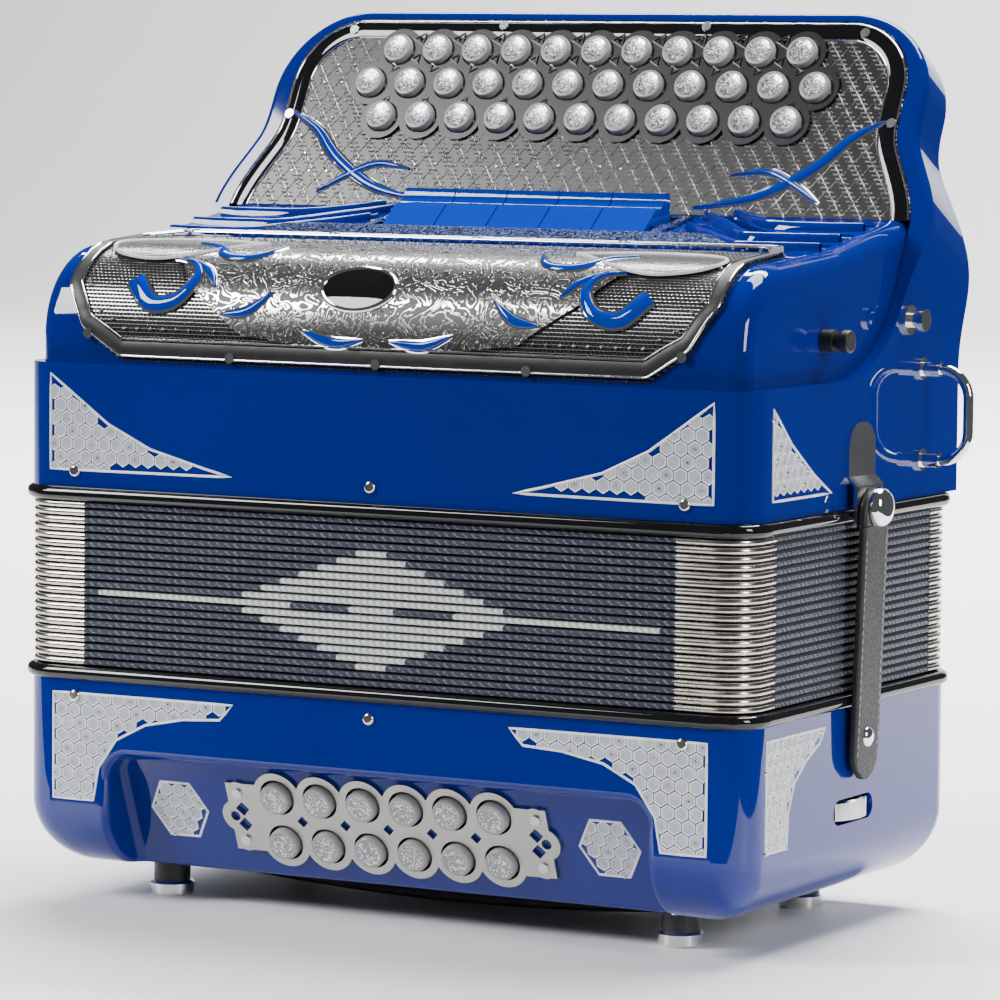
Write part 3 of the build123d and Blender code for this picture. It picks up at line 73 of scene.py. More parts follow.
def node_vertices(node):
    """Vertices of a CAD node, in the row frame."""
    return [vertex.co for vertex in frame["nodes"][node].data.vertices]


KEY_IN = Vector(JOINTS["button_row_1_press"]["axis"]).normalized()
KEY_OUT = -KEY_IN
KEY_UP = Vector((0, KEY_OUT.z, -KEY_OUT.y))
KEY_FACE = max(co.dot(KEY_OUT) for co in node_vertices("keyboard_frame"))
ROW_UP = [
    (lambda found: (min(found) + max(found)) / 2)(
        [co.dot(KEY_UP) for co in node_vertices(f"button_row_{row}")]
    )
    for row in (1, 2, 3)
]
KEY_MIDDLE_UP = ROW_UP[1]
BASS_IN = Vector(JOINTS["bass_press_01"]["axis"]).normalized()
BASS_OUT = -BASS_IN
BASS_UP = Vector((0, BASS_OUT.z, -BASS_OUT.y))
BASS_BACK = min(co.dot(BASS_OUT) for co in node_vertices("bass_button_plate"))
BASS_FACE = max(co.dot(BASS_OUT) for co in node_vertices("bass_button_plate"))


def middle(node):
    """Middle of a CAD node's box."""
    low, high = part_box(node)
    return (low + high) / 2


CASE_LOW, CASE_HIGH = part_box("bass_casing")
HALF_WIDTH = CASE_HIGH.x
FRONT_Y = CASE_LOW.y
BACK_Y = CASE_HIGH.y
MID_Y = (FRONT_Y + BACK_Y) / 2
FOLDS_LOW, FOLDS_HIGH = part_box("bellows_folds")
HOOD_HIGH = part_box("treble_hood")[1]
GRILLE_LOW, GRILLE_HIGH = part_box("grille_plate")


def key_matrix(x, up, out):
    """Frame on the keyboard's face: local X along it, Y up it and Z out of it."""
    place = Vector((x, 0, 0)) + KEY_UP * (KEY_MIDDLE_UP + up) + KEY_OUT * (KEY_FACE + out)
    turn = Matrix((Vector((1, 0, 0)), KEY_UP, KEY_OUT)).transposed()
    return Matrix.Translation(place) @ turn.to_4x4()


def bass_matrix(x, up, out):
    """Frame on the bass recess, with Z out of it, level with the middle of the button plate."""
    mid = middle("bass_button_plate").dot(BASS_UP)
    place = Vector((x, 0, 0)) + BASS_UP * (mid + up) + BASS_OUT * (BASS_FACE + out)
    turn = Matrix((Vector((1, 0, 0)), BASS_UP, BASS_OUT)).transposed()
    return Matrix.Translation(place) @ turn.to_4x4()


def front_matrix(x, z, out):
    """Frame on the front of the casings, with Z out of it."""
    turn = Matrix((Vector((1, 0, 0)), Vector((0, 0, 1)), Vector((0, -1, 0)))).transposed()
    return Matrix.Translation((x, FRONT_Y - out, z)) @ turn.to_4x4()


def end_matrix(side, y, z, out):
    """Frame on an end of the casings, with Z out of it."""
    turn = Matrix((Vector((0, side, 0)), Vector((0, 0, 1)), Vector((side, 0, 0)))).transposed()
    return Matrix.Translation((side * (HALF_WIDTH + out), y, z)) @ turn.to_4x4()


# ---------------------------------------------------------------- sizes and colours


class AccordionSizes(bpy.types.PropertyGroup):
    treble_pitch: FloatProperty(
        name="Treble pitch", description="Spacing of treble buttons along a row",
        default=0.0191, unit="LENGTH",
    )
    button_diameter: FloatProperty(
        name="Button diameter", description="Across the cap of a button", default=0.0132, unit="LENGTH",
    )
    fold_count: IntProperty(
        name="Folds", description="Number of folds in the bellows", default=21, min=3,
    )
    fold_depth: FloatProperty(
        name="Fold depth", description="How far a fold's valley lies behind its edge",
        default=0.0055, unit="LENGTH",
    )
    nose_radius: FloatProperty(
        name="Hood nose", description="Radius of the hood's rounded front edge",
        default=0.036, unit="LENGTH",
    )
    hood_front_slope: FloatProperty(
        name="Hood front slope", description="Slope of the hood under the grille's upper part",
        default=math.radians(4.0), unit="ROTATION",
    )
    grille_border: FloatProperty(
        name="Grille border", description="Width of the plain border of the grille",
        default=0.0055, unit="LENGTH",
    )
    gem_radius: FloatProperty(
        name="Gem radius", description="Radius of the small set stones", default=0.00085, unit="LENGTH",
    )
    stitch_length: FloatProperty(
        name="Stitch", description="Length of one stitch in the straps", default=0.0032, unit="LENGTH",
    )


class AccordionColours(bpy.types.PropertyGroup):
    lacquer: FloatVectorProperty(
        name="Lacquer", description="Casing lacquer", subtype="COLOR", size=3, min=0, max=1,
        default=(0.0004, 0.0125, 0.19),
    )
    accent: FloatVectorProperty(
        name="Accent", description="Blue of the scrolls and the register switches",
        subtype="COLOR", size=3, min=0, max=1, default=(0.0008, 0.030, 0.33),
    )
    cloth: FloatVectorProperty(
        name="Bellows cloth", description="Dark ground of the bellows cloth",
        subtype="COLOR", size=3, min=0, max=1, default=(0.010, 0.015, 0.040),
    )
    figure: FloatVectorProperty(
        name="Bellows figure", description="Pale figure woven across the bellows",
        subtype="COLOR", size=3, min=0, max=1, default=(0.66, 0.69, 0.68),
    )
    leather: FloatVectorProperty(
        name="Leather", description="Straps", subtype="COLOR", size=3, min=0, max=1,
        default=(0.007, 0.007, 0.008),
    )


def sizes():
    """The size settings of the scene."""
    return bpy.context.scene.accordion_sizes


def colours():
    """The colour settings of the scene."""
    return bpy.context.scene.accordion_colours


# ---------------------------------------------------------------- node helpers


class Maker:
    """Adds nodes to a tree and joins them, so that a finish reads from top to bottom."""

    def __init__(self, tree):
        self.tree = tree

    def add(self, kind, **given):
        """Node of a kind. Its inputs come in an inputs table, other names are its settings."""
        node = self.tree.nodes.new(kind)
        inputs = given.pop("inputs", {})
        for key, value in given.items():
            setattr(node, key, value)
        for key, value in inputs.items():
            socket = node.inputs[key]
            if isinstance(value, bpy.types.NodeSocket):
                self.tree.links.new(value, socket)
            else:
                socket.default_value = value
        return node

    def sum(self, operation, first, second=0.0, third=0.0, clamp=False):
        """Output of a Math node."""
        node = self.add("ShaderNodeMath", operation=operation, use_clamp=clamp)
        for socket, value in zip(node.inputs, (first, second, third)):
            if isinstance(value, bpy.types.NodeSocket):
                self.tree.links.new(value, socket)
            else:
                socket.default_value = value
        return node.outputs[0]

    def mix(self, share, first, second):
        """Colour between two colours."""
        node = self.add("ShaderNodeMix", data_type="RGBA")
        for name, value in (("Factor_Float", share), ("A_Color", first), ("B_Color", second)):
            socket = next(s for s in node.inputs if s.identifier == name)
            if isinstance(value, bpy.types.NodeSocket):
                self.tree.links.new(value, socket)
            else:
                socket.default_value = value
        return next(s for s in node.outputs if s.identifier == "Result_Color")

    def step(self, value, low, high, to_low=0.0, to_high=1.0):
        """Smooth rise from to_low to to_high as value passes from low to high."""
        node = self.add(
            "ShaderNodeMapRange", interpolation_type="SMOOTHSTEP",
            inputs={"From Min": low, "From Max": high, "To Min": to_low, "To Max": to_high},
        )
        self.tree.links.new(value, node.inputs["Value"])
        return node.outputs["Result"]

    def repeat(self, value, period):
        """Place within a repeat, from 0 to 1."""
        return self.sum("FRACT", self.sum("DIVIDE", value, period))

    def line(self, value, period, share, soft=0.06):
        """Mask of lines that repeat every period and fill a share of it."""
        away = self.sum("ABSOLUTE", self.sum("SUBTRACT", self.repeat(value, period), 0.5))
        return self.step(away, share / 2 - soft, share / 2 + soft, 1.0, 0.0)


def effect_group(name, inputs, outputs, build):
    """Shader node group with named sockets, built once."""
    if name in bpy.data.node_groups:
        return bpy.data.node_groups[name]
    tree = bpy.data.node_groups.new(name, "ShaderNodeTree")
    for label, kind, value in inputs:
        socket = tree.interface.new_socket(label, in_out="INPUT", socket_type=kind)
        if value is not None:
            socket.default_value = value
    for label, kind in outputs:
        tree.interface.new_socket(label, in_out="OUTPUT", socket_type=kind)
    maker = Maker(tree)
    build(maker, maker.add("NodeGroupInput"), maker.add("NodeGroupOutput"))
    return tree


def build_handling(maker, given, result):
    """Faint smears that handling leaves in a gloss."""
    noise = maker.add(
        "ShaderNodeTexNoise",
        inputs={"Vector": given.outputs["Vector"], "Scale": given.outputs["Scale"], "Detail": 5.0},
    )
    smear = maker.step(noise.outputs["Fac"], 0.45, 0.75)
    added = maker.sum("MULTIPLY", smear, given.outputs["Amount"])
    maker.tree.links.new(
        maker.sum("ADD", given.outputs["Roughness"], added), result.inputs["Roughness"]
    )
    maker.tree.links.new(noise.outputs["Fac"], result.inputs["Height"])


def build_glitter(maker, given, result):
    """Flakes set in clear plastic: each flake has its own shade, tilt and gloss."""
    flakes = maker.add(
        "ShaderNodeTexVoronoi",
        inputs={"Vector": given.outputs["Vector"], "Scale": given.outputs["Scale"]},
    )
    split = maker.add("ShaderNodeSeparateColor", inputs={"Color": flakes.outputs["Color"]})
    bright = maker.step(split.outputs["Red"], 0.55, 0.95)
    shade = maker.mix(bright, given.outputs["Dark"], given.outputs["Bright"])
    maker.tree.links.new(shade, result.inputs["Color"])
    maker.tree.links.new(
        maker.step(split.outputs["Green"], 0.0, 1.0, 0.12, 0.5), result.inputs["Roughness"]
    )
    maker.tree.links.new(split.outputs["Blue"], result.inputs["Height"])


def build_grain(maker, given, result):
    """Pebbled grain of leather, with finer pores between."""
    cells = maker.add(
        "ShaderNodeTexVoronoi", feature="SMOOTH_F1",
        inputs={"Vector": given.outputs["Vector"], "Scale": given.outputs["Scale"], "Smoothness": 0.6},
    )
    fine = maker.add(
        "ShaderNodeTexNoise",
        inputs={
            "Vector": given.outputs["Vector"],
            "Scale": maker.sum("MULTIPLY", given.outputs["Scale"], 2.6),
            "Detail": 4.0,
        },
    )
    height = maker.sum(
        "ADD", cells.outputs["Distance"], maker.sum("MULTIPLY", fine.outputs["Fac"], 0.4)
    )
    maker.tree.links.new(height, result.inputs["Height"])
    maker.tree.links.new(maker.step(height, 0.2, 0.9), result.inputs["Mask"])


def build_perforation(maker, given, result):
    """Staggered round holes with a painted highlight on their lower lip, on coordinates in metres."""
    split = maker.add("ShaderNodeSeparateXYZ", inputs={"Vector": given.outputs["Vector"]})
    pitch = given.outputs["Pitch"]
    row_pitch = maker.sum("MULTIPLY", pitch, 0.8660)
    row = maker.sum("DIVIDE", split.outputs["Y"], row_pitch)
    row_number = maker.sum("FLOOR", row)
    shift = maker.sum("MULTIPLY", maker.sum("MODULO", row_number, 2.0), 0.5)
    across = maker.sum("FRACT", maker.sum("ADD", maker.sum("DIVIDE", split.outputs["X"], pitch), shift))
    dx = maker.sum("SUBTRACT", across, 0.5)
    dy = maker.sum("SUBTRACT", maker.sum("FRACT", row), 0.5)
    away = maker.sum("SQRT", maker.sum("ADD", maker.sum("MULTIPLY", dx, dx), maker.sum("MULTIPLY", dy, dy)))
    hole = maker.step(away, 0.30, 0.36, 1.0, 0.0)
    # Painted highlight: a crescent on the lower lip of each hole, where light from above would fall.
    painted_highlight_lower_half = maker.step(maker.sum("ADD", dy, 0.10), -0.30, -0.20, 1.0, 0.0)
    painted_lip_highlight = maker.sum("MULTIPLY", maker.step(away, 0.30, 0.42, 0.0, 1.0), painted_highlight_lower_half)
    maker.tree.links.new(hole, result.inputs["Hole"])
    maker.tree.links.new(painted_lip_highlight, result.inputs["Painted lip highlight"])
    maker.tree.links.new(maker.step(away, 0.26, 0.42), result.inputs["Height"])


def handling_group():
    return effect_group(
        "Handling marks",
        [("Vector", "NodeSocketVector", None), ("Scale", "NodeSocketFloat", 30.0),
         ("Roughness", "NodeSocketFloat", 0.1), ("Amount", "NodeSocketFloat", 0.05)],
        [("Roughness", "NodeSocketFloat"), ("Height", "NodeSocketFloat")], build_handling,
    )


def glitter_group():
    return effect_group(
        "Glitter flakes",
        [("Vector", "NodeSocketVector", None), ("Scale", "NodeSocketFloat", 1500.0),
         ("Dark", "NodeSocketColor", (0.2, 0.2, 0.2, 1)), ("Bright", "NodeSocketColor", (0.9, 0.9, 0.9, 1))],
        [("Color", "NodeSocketColor"), ("Roughness", "NodeSocketFloat"), ("Height", "NodeSocketFloat")],
        build_glitter,
    )


def grain_group():
    return effect_group(
        "Leather grain",
        [("Vector", "NodeSocketVector", None), ("Scale", "NodeSocketFloat", 900.0)],
        [("Height", "NodeSocketFloat"), ("Mask", "NodeSocketFloat")], build_grain,
    )


def perforation_group():
    return effect_group(
        "Perforation",
        [("Vector", "NodeSocketVector", None), ("Pitch", "NodeSocketFloat", 0.0018)],
        [("Hole", "NodeSocketFloat"), ("Painted lip highlight", "NodeSocketFloat"), ("Height", "NodeSocketFloat")],
        build_perforation,
    )


def rgba(colour, share=1.0):
    """Colour with alpha, made darker or lighter by a share."""
    return (colour[0] * share, colour[1] * share, colour[2] * share, 1.0)


def finish(name, **plain):
    """New material with a Principled BSDF whose plain sockets are set. Returns it, its shader and a Maker."""
    material = bpy.data.materials.new(name)
    material.use_nodes = True
    shader = material.node_tree.nodes["Principled BSDF"]
    for key, value in plain.items():
        shader.inputs[key.replace("_", " ")].default_value = value
    return material, shader, Maker(material.node_tree)


def object_place(maker):
    """Object coordinates."""
    return maker.add("ShaderNodeTexCoord").outputs["Object"]


def object_noise(maker, scale, detail):
    """Noise texture laid in object coordinates."""
    where = object_place(maker)
    return maker.add("ShaderNodeTexNoise", inputs={"Vector": where, "Scale": scale, "Detail": detail})


def use_group(maker, tree, **inputs):
    """Group node with its inputs set or linked."""
    node = maker.add("ShaderNodeGroup", node_tree=tree)
    for key, value in inputs.items():
        socket = node.inputs[key]
        if isinstance(value, bpy.types.NodeSocket):
            maker.tree.links.new(value, socket)
        else:
            socket.default_value = value
    return node


def relief(maker, shader, height, distance, strength=1.0):
    """Bump of a given depth, in metres."""
    bump = maker.add("ShaderNodeBump", inputs={"Strength": strength, "Distance": distance, "Height": height})
    maker.tree.links.new(bump.outputs["Normal"], shader.inputs["Normal"])
    return bump


# ---------------------------------------------------------------- finishes

FINISHES = {}


def lacquer_finish(name, colour, roughness=0.09):
    material, shader, maker = finish(
        name, Coat_Weight=1.0, Coat_Roughness=0.03, Coat_IOR=1.5, Specular_IOR_Level=0.0)
    marks = use_group(maker, handling_group(), Vector=object_place(maker), Scale=22.0,
                      Roughness=roughness, Amount=0.07)
    depth = object_noise(maker, 9.0, 2.0)
    shade = maker.mix(depth.outputs["Fac"], rgba(colour, 0.86), rgba(colour, 1.12))
    maker.tree.links.new(shade, shader.inputs["Base Color"])
    maker.tree.links.new(marks.outputs["Roughness"], shader.inputs["Roughness"])
    ripple = object_noise(maker, 260.0, 1.0)
    relief(maker, shader, ripple.outputs["Fac"], 0.00002, 0.5)
    return material


def metal_finish(name, colour, roughness=0.14, amount=0.12, scale=70.0):
    material, shader, maker = finish(name, Metallic=1.0)
    marks = use_group(maker, handling_group(), Vector=object_place(maker), Scale=scale,
                      Roughness=roughness, Amount=amount)
    shade = maker.mix(marks.outputs["Height"], rgba(colour, 0.85), rgba(colour, 1.08))
    maker.tree.links.new(shade, shader.inputs["Base Color"])
    maker.tree.links.new(marks.outputs["Roughness"], shader.inputs["Roughness"])
    relief(maker, shader, marks.outputs["Height"], 0.00003, 0.3)
    return material


def plain_plastic(name, colour, roughness):
    material, shader, maker = finish(name)
    marks = use_group(maker, handling_group(), Vector=object_place(maker), Scale=180.0,
                      Roughness=roughness, Amount=0.15)
    shade = maker.mix(marks.outputs["Height"], rgba(colour, 0.8), rgba(colour, 1.3))
    maker.tree.links.new(shade, shader.inputs["Base Color"])
    maker.tree.links.new(marks.outputs["Roughness"], shader.inputs["Roughness"])
    relief(maker, shader, marks.outputs["Height"], 0.00006, 0.5)
    return material


def glitter_finish(name, dark, bright, scale=1300.0):
    material, shader, maker = finish(name, Metallic=0.75, Coat_Weight=1.0, Coat_Roughness=0.04)
    flakes = use_group(maker, glitter_group(), Vector=object_place(maker), Scale=scale,
                       Dark=rgba(dark), Bright=rgba(bright))
    maker.tree.links.new(flakes.outputs["Color"], shader.inputs["Base Color"])
    maker.tree.links.new(flakes.outputs["Roughness"], shader.inputs["Roughness"])
    relief(maker, shader, flakes.outputs["Height"], 0.0003, 0.6)
    return material


def gem_finish(name, colour):
    material, shader, maker = finish(name, Metallic=0.85, Coat_Weight=1.0, Coat_Roughness=0.02)
    noise = object_noise(maker, 700.0, 1.0)
    shade = maker.mix(maker.step(noise.outputs["Fac"], 0.35, 0.65), rgba(colour, 0.5), rgba(colour))
    maker.tree.links.new(shade, shader.inputs["Base Color"])
    maker.tree.links.new(maker.step(noise.outputs["Fac"], 0.3, 0.7, 0.05, 0.25), shader.inputs["Roughness"])
    return material


def leather_finish(name, colour, scale=1000.0):
    material, shader, maker = finish(name, Coat_Weight=0.15, Coat_Roughness=0.35)
    grain = use_group(maker, grain_group(), Vector=object_place(maker), Scale=scale)
    shade = maker.mix(grain.outputs["Mask"], rgba(colour, 2.2), rgba(colour, 0.7))
    maker.tree.links.new(shade, shader.inputs["Base Color"])
    maker.tree.links.new(maker.step(grain.outputs["Mask"], 0, 1, 0.38, 0.6), shader.inputs["Roughness"])
    relief(maker, shader, grain.outputs["Height"], 0.00018, 0.55)
    return material


def cloth_finish():
    """Figured bellows cloth: U runs round the folds in metres, V counts folds."""
    material, shader, maker = finish("Bellows cloth", Sheen_Weight=0.25, Sheen_Roughness=0.5)
    place = maker.add("ShaderNodeUVMap", uv_map="Cloth").outputs["UV"]
    split = maker.add("ShaderNodeSeparateXYZ", inputs={"Vector": place})
    along, fold = split.outputs["X"], split.outputs["Y"]
    row = maker.sum("FLOOR", fold)
    within = maker.sum("SUBTRACT", fold, row)
    centre = (sizes().fold_count - 1) / 2 - 1
    from_row = maker.sum("ABSOLUTE", maker.sum("SUBTRACT", row, centre))
    reach = maker.sum("SUBTRACT", 0.059, maker.sum(
        "MULTIPLY", maker.sum("MAXIMUM", maker.sum("SUBTRACT", from_row, 1.0), 0.0), 0.0087))
    apart = maker.sum("ABSOLUTE", along)
    near = maker.sum("LESS_THAN", apart, reach)
    inside = maker.sum("MULTIPLY", near, maker.sum("LESS_THAN", from_row, 7.5))
    middle_row = maker.sum("LESS_THAN", from_row, 0.5)
    line = maker.sum("MULTIPLY", middle_row, maker.sum("LESS_THAN", apart, 0.127))
    bars = maker.sum("MULTIPLY", middle_row, maker.sum(
        "MULTIPLY", maker.sum("GREATER_THAN", apart, 0.010), maker.sum("LESS_THAN", apart, 0.037)))
    figure = maker.sum("MULTIPLY", maker.sum("MAXIMUM", inside, line), maker.sum("SUBTRACT", 1.0, bars))
    wave = maker.sum("SINE", maker.sum("MULTIPLY", along, 2 * math.pi / 0.0040))
    curl = maker.sum("ABSOLUTE", maker.sum(
        "SUBTRACT", within, maker.sum("ADD", 0.5, maker.sum("MULTIPLY", wave, 0.20))))
    fleck = maker.sum("MULTIPLY", maker.step(curl, 0.04, 0.10, 1.0, 0.0), maker.line(along, 0.0040, 0.62))
    speck = object_noise(maker, 900.0, 2.0)
    fleck = maker.sum("MULTIPLY", fleck, maker.step(speck.outputs["Fac"], 0.3, 0.6))
    ground = maker.mix(fleck, rgba(colours().cloth), (0.22, 0.25, 0.32, 1))
    cord = maker.line(maker.sum("ADD", along, maker.sum("MULTIPLY", within, 0.0022)), 0.0031, 0.6, 0.25)
    pale = maker.mix(cord, rgba(colours().figure, 0.55), rgba(colours().figure, 1.1))
    maker.tree.links.new(maker.mix(figure, ground, pale), shader.inputs["Base Color"])
    maker.tree.links.new(maker.step(figure, 0, 1, 0.62, 0.42), shader.inputs["Roughness"])
    threads = object_noise(maker, 2200.0, 2.0)
    height = maker.sum("ADD", cord, maker.sum("MULTIPLY", threads.outputs["Fac"], 0.3))
    relief(maker, shader, height, 0.00035, 0.7)
    return material


def wood_finish():
    material, shader, maker = finish("Bare spruce", Roughness=0.6)
    wave = maker.add(
        "ShaderNodeTexWave", wave_type="BANDS", bands_direction="Y",
        inputs={"Vector": object_place(maker), "Scale": 120.0, "Distortion": 3.0, "Detail": 3.0,
                "Detail Scale": 1.5},
    )
    shade = maker.mix(wave.outputs["Fac"], (0.60, 0.42, 0.22, 1), (0.42, 0.26, 0.12, 1))
    maker.tree.links.new(shade, shader.inputs["Base Color"])
    relief(maker, shader, wave.outputs["Fac"], 0.0001, 0.3)
    return material


def mesh_plate_finish(name, place, pitch):
    """Fine perforated sheet metal, with painted shade in its holes and a painted highlight on the lower lip
    of each hole.
    """
    material, shader, maker = finish(name)
    holes = use_group(maker, perforation_group(), Vector=place(maker), Pitch=pitch)
    # Painted highlight: the dark metal turns bright on each hole's lower lip.
    metal = maker.mix(holes.outputs["Painted lip highlight"], (0.035, 0.035, 0.04, 1), (0.85, 0.83, 0.78, 1))
    # Painted shade: the holes are coloured near black.
    maker.tree.links.new(maker.mix(holes.outputs["Hole"], metal, (0.004, 0.004, 0.005, 1)),
                         shader.inputs["Base Color"])
    maker.tree.links.new(maker.sum("MULTIPLY", maker.sum("SUBTRACT", 1.0, holes.outputs["Hole"]), 0.9),
                         shader.inputs["Metallic"])
    maker.tree.links.new(maker.step(holes.outputs["Hole"], 0, 1, 0.22, 0.8), shader.inputs["Roughness"])
    relief(maker, shader, holes.outputs["Height"], 0.0005, 0.9)
    return material


def engraved_finish(name, place, pitch_x, pitch_y):
    """Cut bright pattern on black: slanted lattice with beaded bars, as on the keyboard plate."""
    material, shader, maker = finish(name)
    split = maker.add("ShaderNodeSeparateXYZ", inputs={"Vector": place(maker)})
    x, y = split.outputs["X"], split.outputs["Y"]
    row = maker.sum("DIVIDE", y, pitch_y)
    skew = maker.sum("ADD", maker.sum("DIVIDE", x, pitch_x), maker.sum("MULTIPLY", row, 0.5))
    cell = maker.sum("FRACT", skew)
    lean = pitch_x / pitch_y * 0.5
    diagonal = maker.line(maker.sum("ADD", x, maker.sum("MULTIPLY", y, lean)), pitch_x, 0.06, 0.02)
    other = maker.line(maker.sum("SUBTRACT", x, maker.sum("MULTIPLY", y, lean)), pitch_x, 0.04, 0.02)
    beads = maker.line(x, 0.0009, 0.62, 0.2)
    bars = maker.sum("MULTIPLY", maker.line(y, pitch_y / 3, 0.26, 0.10), beads)
    window = maker.sum("MULTIPLY", maker.step(cell, 0.16, 0.22), maker.step(cell, 0.72, 0.78, 1.0, 0.0))
    bright = maker.sum("MAXIMUM", maker.sum("MULTIPLY", bars, window), maker.sum("MAXIMUM", diagonal, other))
    rough = maker.add("ShaderNodeTexNoise", inputs={"Vector": place(maker), "Scale": 500.0, "Detail": 3.0})
    bright = maker.sum("MULTIPLY", bright, maker.step(rough.outputs["Fac"], 0.3, 0.55))
    raised = maker.step(split.outputs["Z"], KEY_FACE + 0.0003, KEY_FACE + 0.0005, 1.0, 0.0)
    bright = maker.sum("MULTIPLY", bright, raised)
    shade = maker.mix(bright, (0.008, 0.008, 0.009, 1), (0.42, 0.41, 0.38, 1))
    maker.tree.links.new(shade, shader.inputs["Base Color"])
    maker.tree.links.new(maker.step(bright, 0.2, 0.8, 0.0, 1.0), shader.inputs["Metallic"])
    maker.tree.links.new(maker.step(bright, 0, 1, 0.22, 0.2), shader.inputs["Roughness"])
    relief(maker, shader, bright, 0.0004, 0.8)
    return material


def filigree_finish(name, place, scale=95.0):
    """Bright scrollwork standing on a black ground."""
    material, shader, maker = finish(name)
    warp = maker.add("ShaderNodeTexNoise", inputs={"Vector": place(maker), "Scale": scale, "Detail": 1.5,
                                                   "Distortion": 1.4})
    bands = maker.sum("FRACT", maker.sum("MULTIPLY", warp.outputs["Fac"], 7.0))
    line = maker.step(maker.sum("ABSOLUTE", maker.sum("SUBTRACT", bands, 0.5)), 0.14, 0.22, 1.0, 0.0)
    dots = maker.add("ShaderNodeTexVoronoi", inputs={"Vector": place(maker), "Scale": 420.0})
    stone = maker.step(dots.outputs["Distance"], 0.20, 0.30, 1.0, 0.0)
    bright = maker.sum("MAXIMUM", line, maker.sum("MULTIPLY", stone, 0.8))
    shade = maker.mix(bright, (0.012, 0.012, 0.012, 1), (0.62, 0.61, 0.57, 1))
    maker.tree.links.new(shade, shader.inputs["Base Color"])
    maker.tree.links.new(maker.step(bright, 0.2, 0.8), shader.inputs["Metallic"])
    maker.tree.links.new(maker.step(bright, 0, 1, 0.4, 0.15), shader.inputs["Roughness"])
    relief(maker, shader, bright, 0.0005, 0.8)
    return material


# ---------------------------------------------------------------- mesh helpers


def vertices_in(geometry):
    """The vertices of what a bmesh operator gives back."""
    return [part for part in geometry if isinstance(part, bmesh.types.BMVert)]


def edges_in(geometry):
    """The edges of what a bmesh operator gives back."""
    return [part for part in geometry if isinstance(part, bmesh.types.BMEdge)]


def make_object(name, bm, materials, body=None, smooth=35.0):
    """Object at the origin from a BMesh, with sharp edges kept above an angle, riding a body."""
    bmesh.ops.recalc_face_normals(bm, faces=bm.faces[:])
    mesh = bpy.data.meshes.new(name)
    bm.to_mesh(mesh)
    bm.free()
    for material in materials if isinstance(materials, (list, tuple)) else [materials]:
        mesh.materials.append(material)
    mesh.shade_smooth()
    mesh.set_sharp_from_angle(angle=math.radians(smooth))
    piece = bpy.data.objects.new(name, mesh)
    bpy.context.scene.collection.objects.link(piece)
    if body:
        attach(piece, body)
    return piece


def flat_layer(bm):
    """UV layer that holds places on a sheet laid flat, in metres."""
    return bm.loops.layers.uv.get("Flat") or bm.loops.layers.uv.new("Flat")


def spun(bm, points, matrix, steps=32):
    """Turned solid from (radius, height) points, whose first and last lie on the axis, placed by a matrix."""
    start = [bm.verts.new((max(radius, 0.0), 0, height)) for radius, height in points]
    edges = [bm.edges.new(pair) for pair in zip(start, start[1:])]
    found = bmesh.ops.spin(
        bm, geom=start + edges, axis=(0, 0, 1), cent=(0, 0, 0), angle=2 * math.pi, steps=steps,
        use_merge=True, use_duplicate=False,
    )
    verts = list({v for v in start if v.is_valid} | connected(found["geom_last"], start))
    bmesh.ops.remove_doubles(bm, verts=verts, dist=1e-7)
    verts = [v for v in verts if v.is_valid]
    bmesh.ops.transform(bm, matrix=matrix, verts=verts)
    return verts


def connected(geometry, start):
    """Every vertex joined by edges to the given geometry."""
    todo = [g for g in geometry if isinstance(g, bmesh.types.BMVert) and g.is_valid]
    todo += [v for v in start if v.is_valid]
    seen = set(todo)
    while todo:
        vert = todo.pop()
        for edge in vert.link_edges:
            other = edge.other_vert(vert)
            if other not in seen:
                seen.add(other)
                todo.append(other)
    return seen


def prism(bm, sides, radius, height, matrix, bevel=0.0, hole=0.0, material=0):
    """Upright prism with bevelled top edges, and a hole through it where one is asked for."""
    verts = bmesh.ops.create_circle(bm, cap_ends=True, radius=radius, segments=sides)["verts"]
    face = verts[0].link_faces[0]
    face.normal_update()
    if hole:
        inset = (radius - hole) * math.cos(math.pi / sides)
        rim = bmesh.ops.inset_region(bm, faces=[face], thickness=inset, use_boundary=True)
        bmesh.ops.delete(bm, geom=[face], context="FACES")
        faces = rim["faces"]
    else:
        faces = [face]
    raised = bmesh.ops.extrude_face_region(bm, geom=faces)["geom"]
    top = vertices_in(raised)
    bmesh.ops.translate(bm, vec=(0, 0, height), verts=top)
    verts = list(connected(top, []))
    if bevel:
        edges = {e for v in top for e in v.link_edges if e.other_vert(v) in top}
        border = [e for e in edges if abs(e.calc_face_angle(0)) > 0.5]
        made = bmesh.ops.bevel(
            bm, geom=border, offset=bevel, offset_type="OFFSET", segments=2, profile=0.5,
            affect="EDGES", clamp_overlap=True, material=-1,
        )
        verts = list(connected(made["verts"], []))
    for face in {f for v in verts for f in v.link_faces}:
        face.material_index = material
    bmesh.ops.transform(bm, matrix=matrix, verts=verts)
    return verts


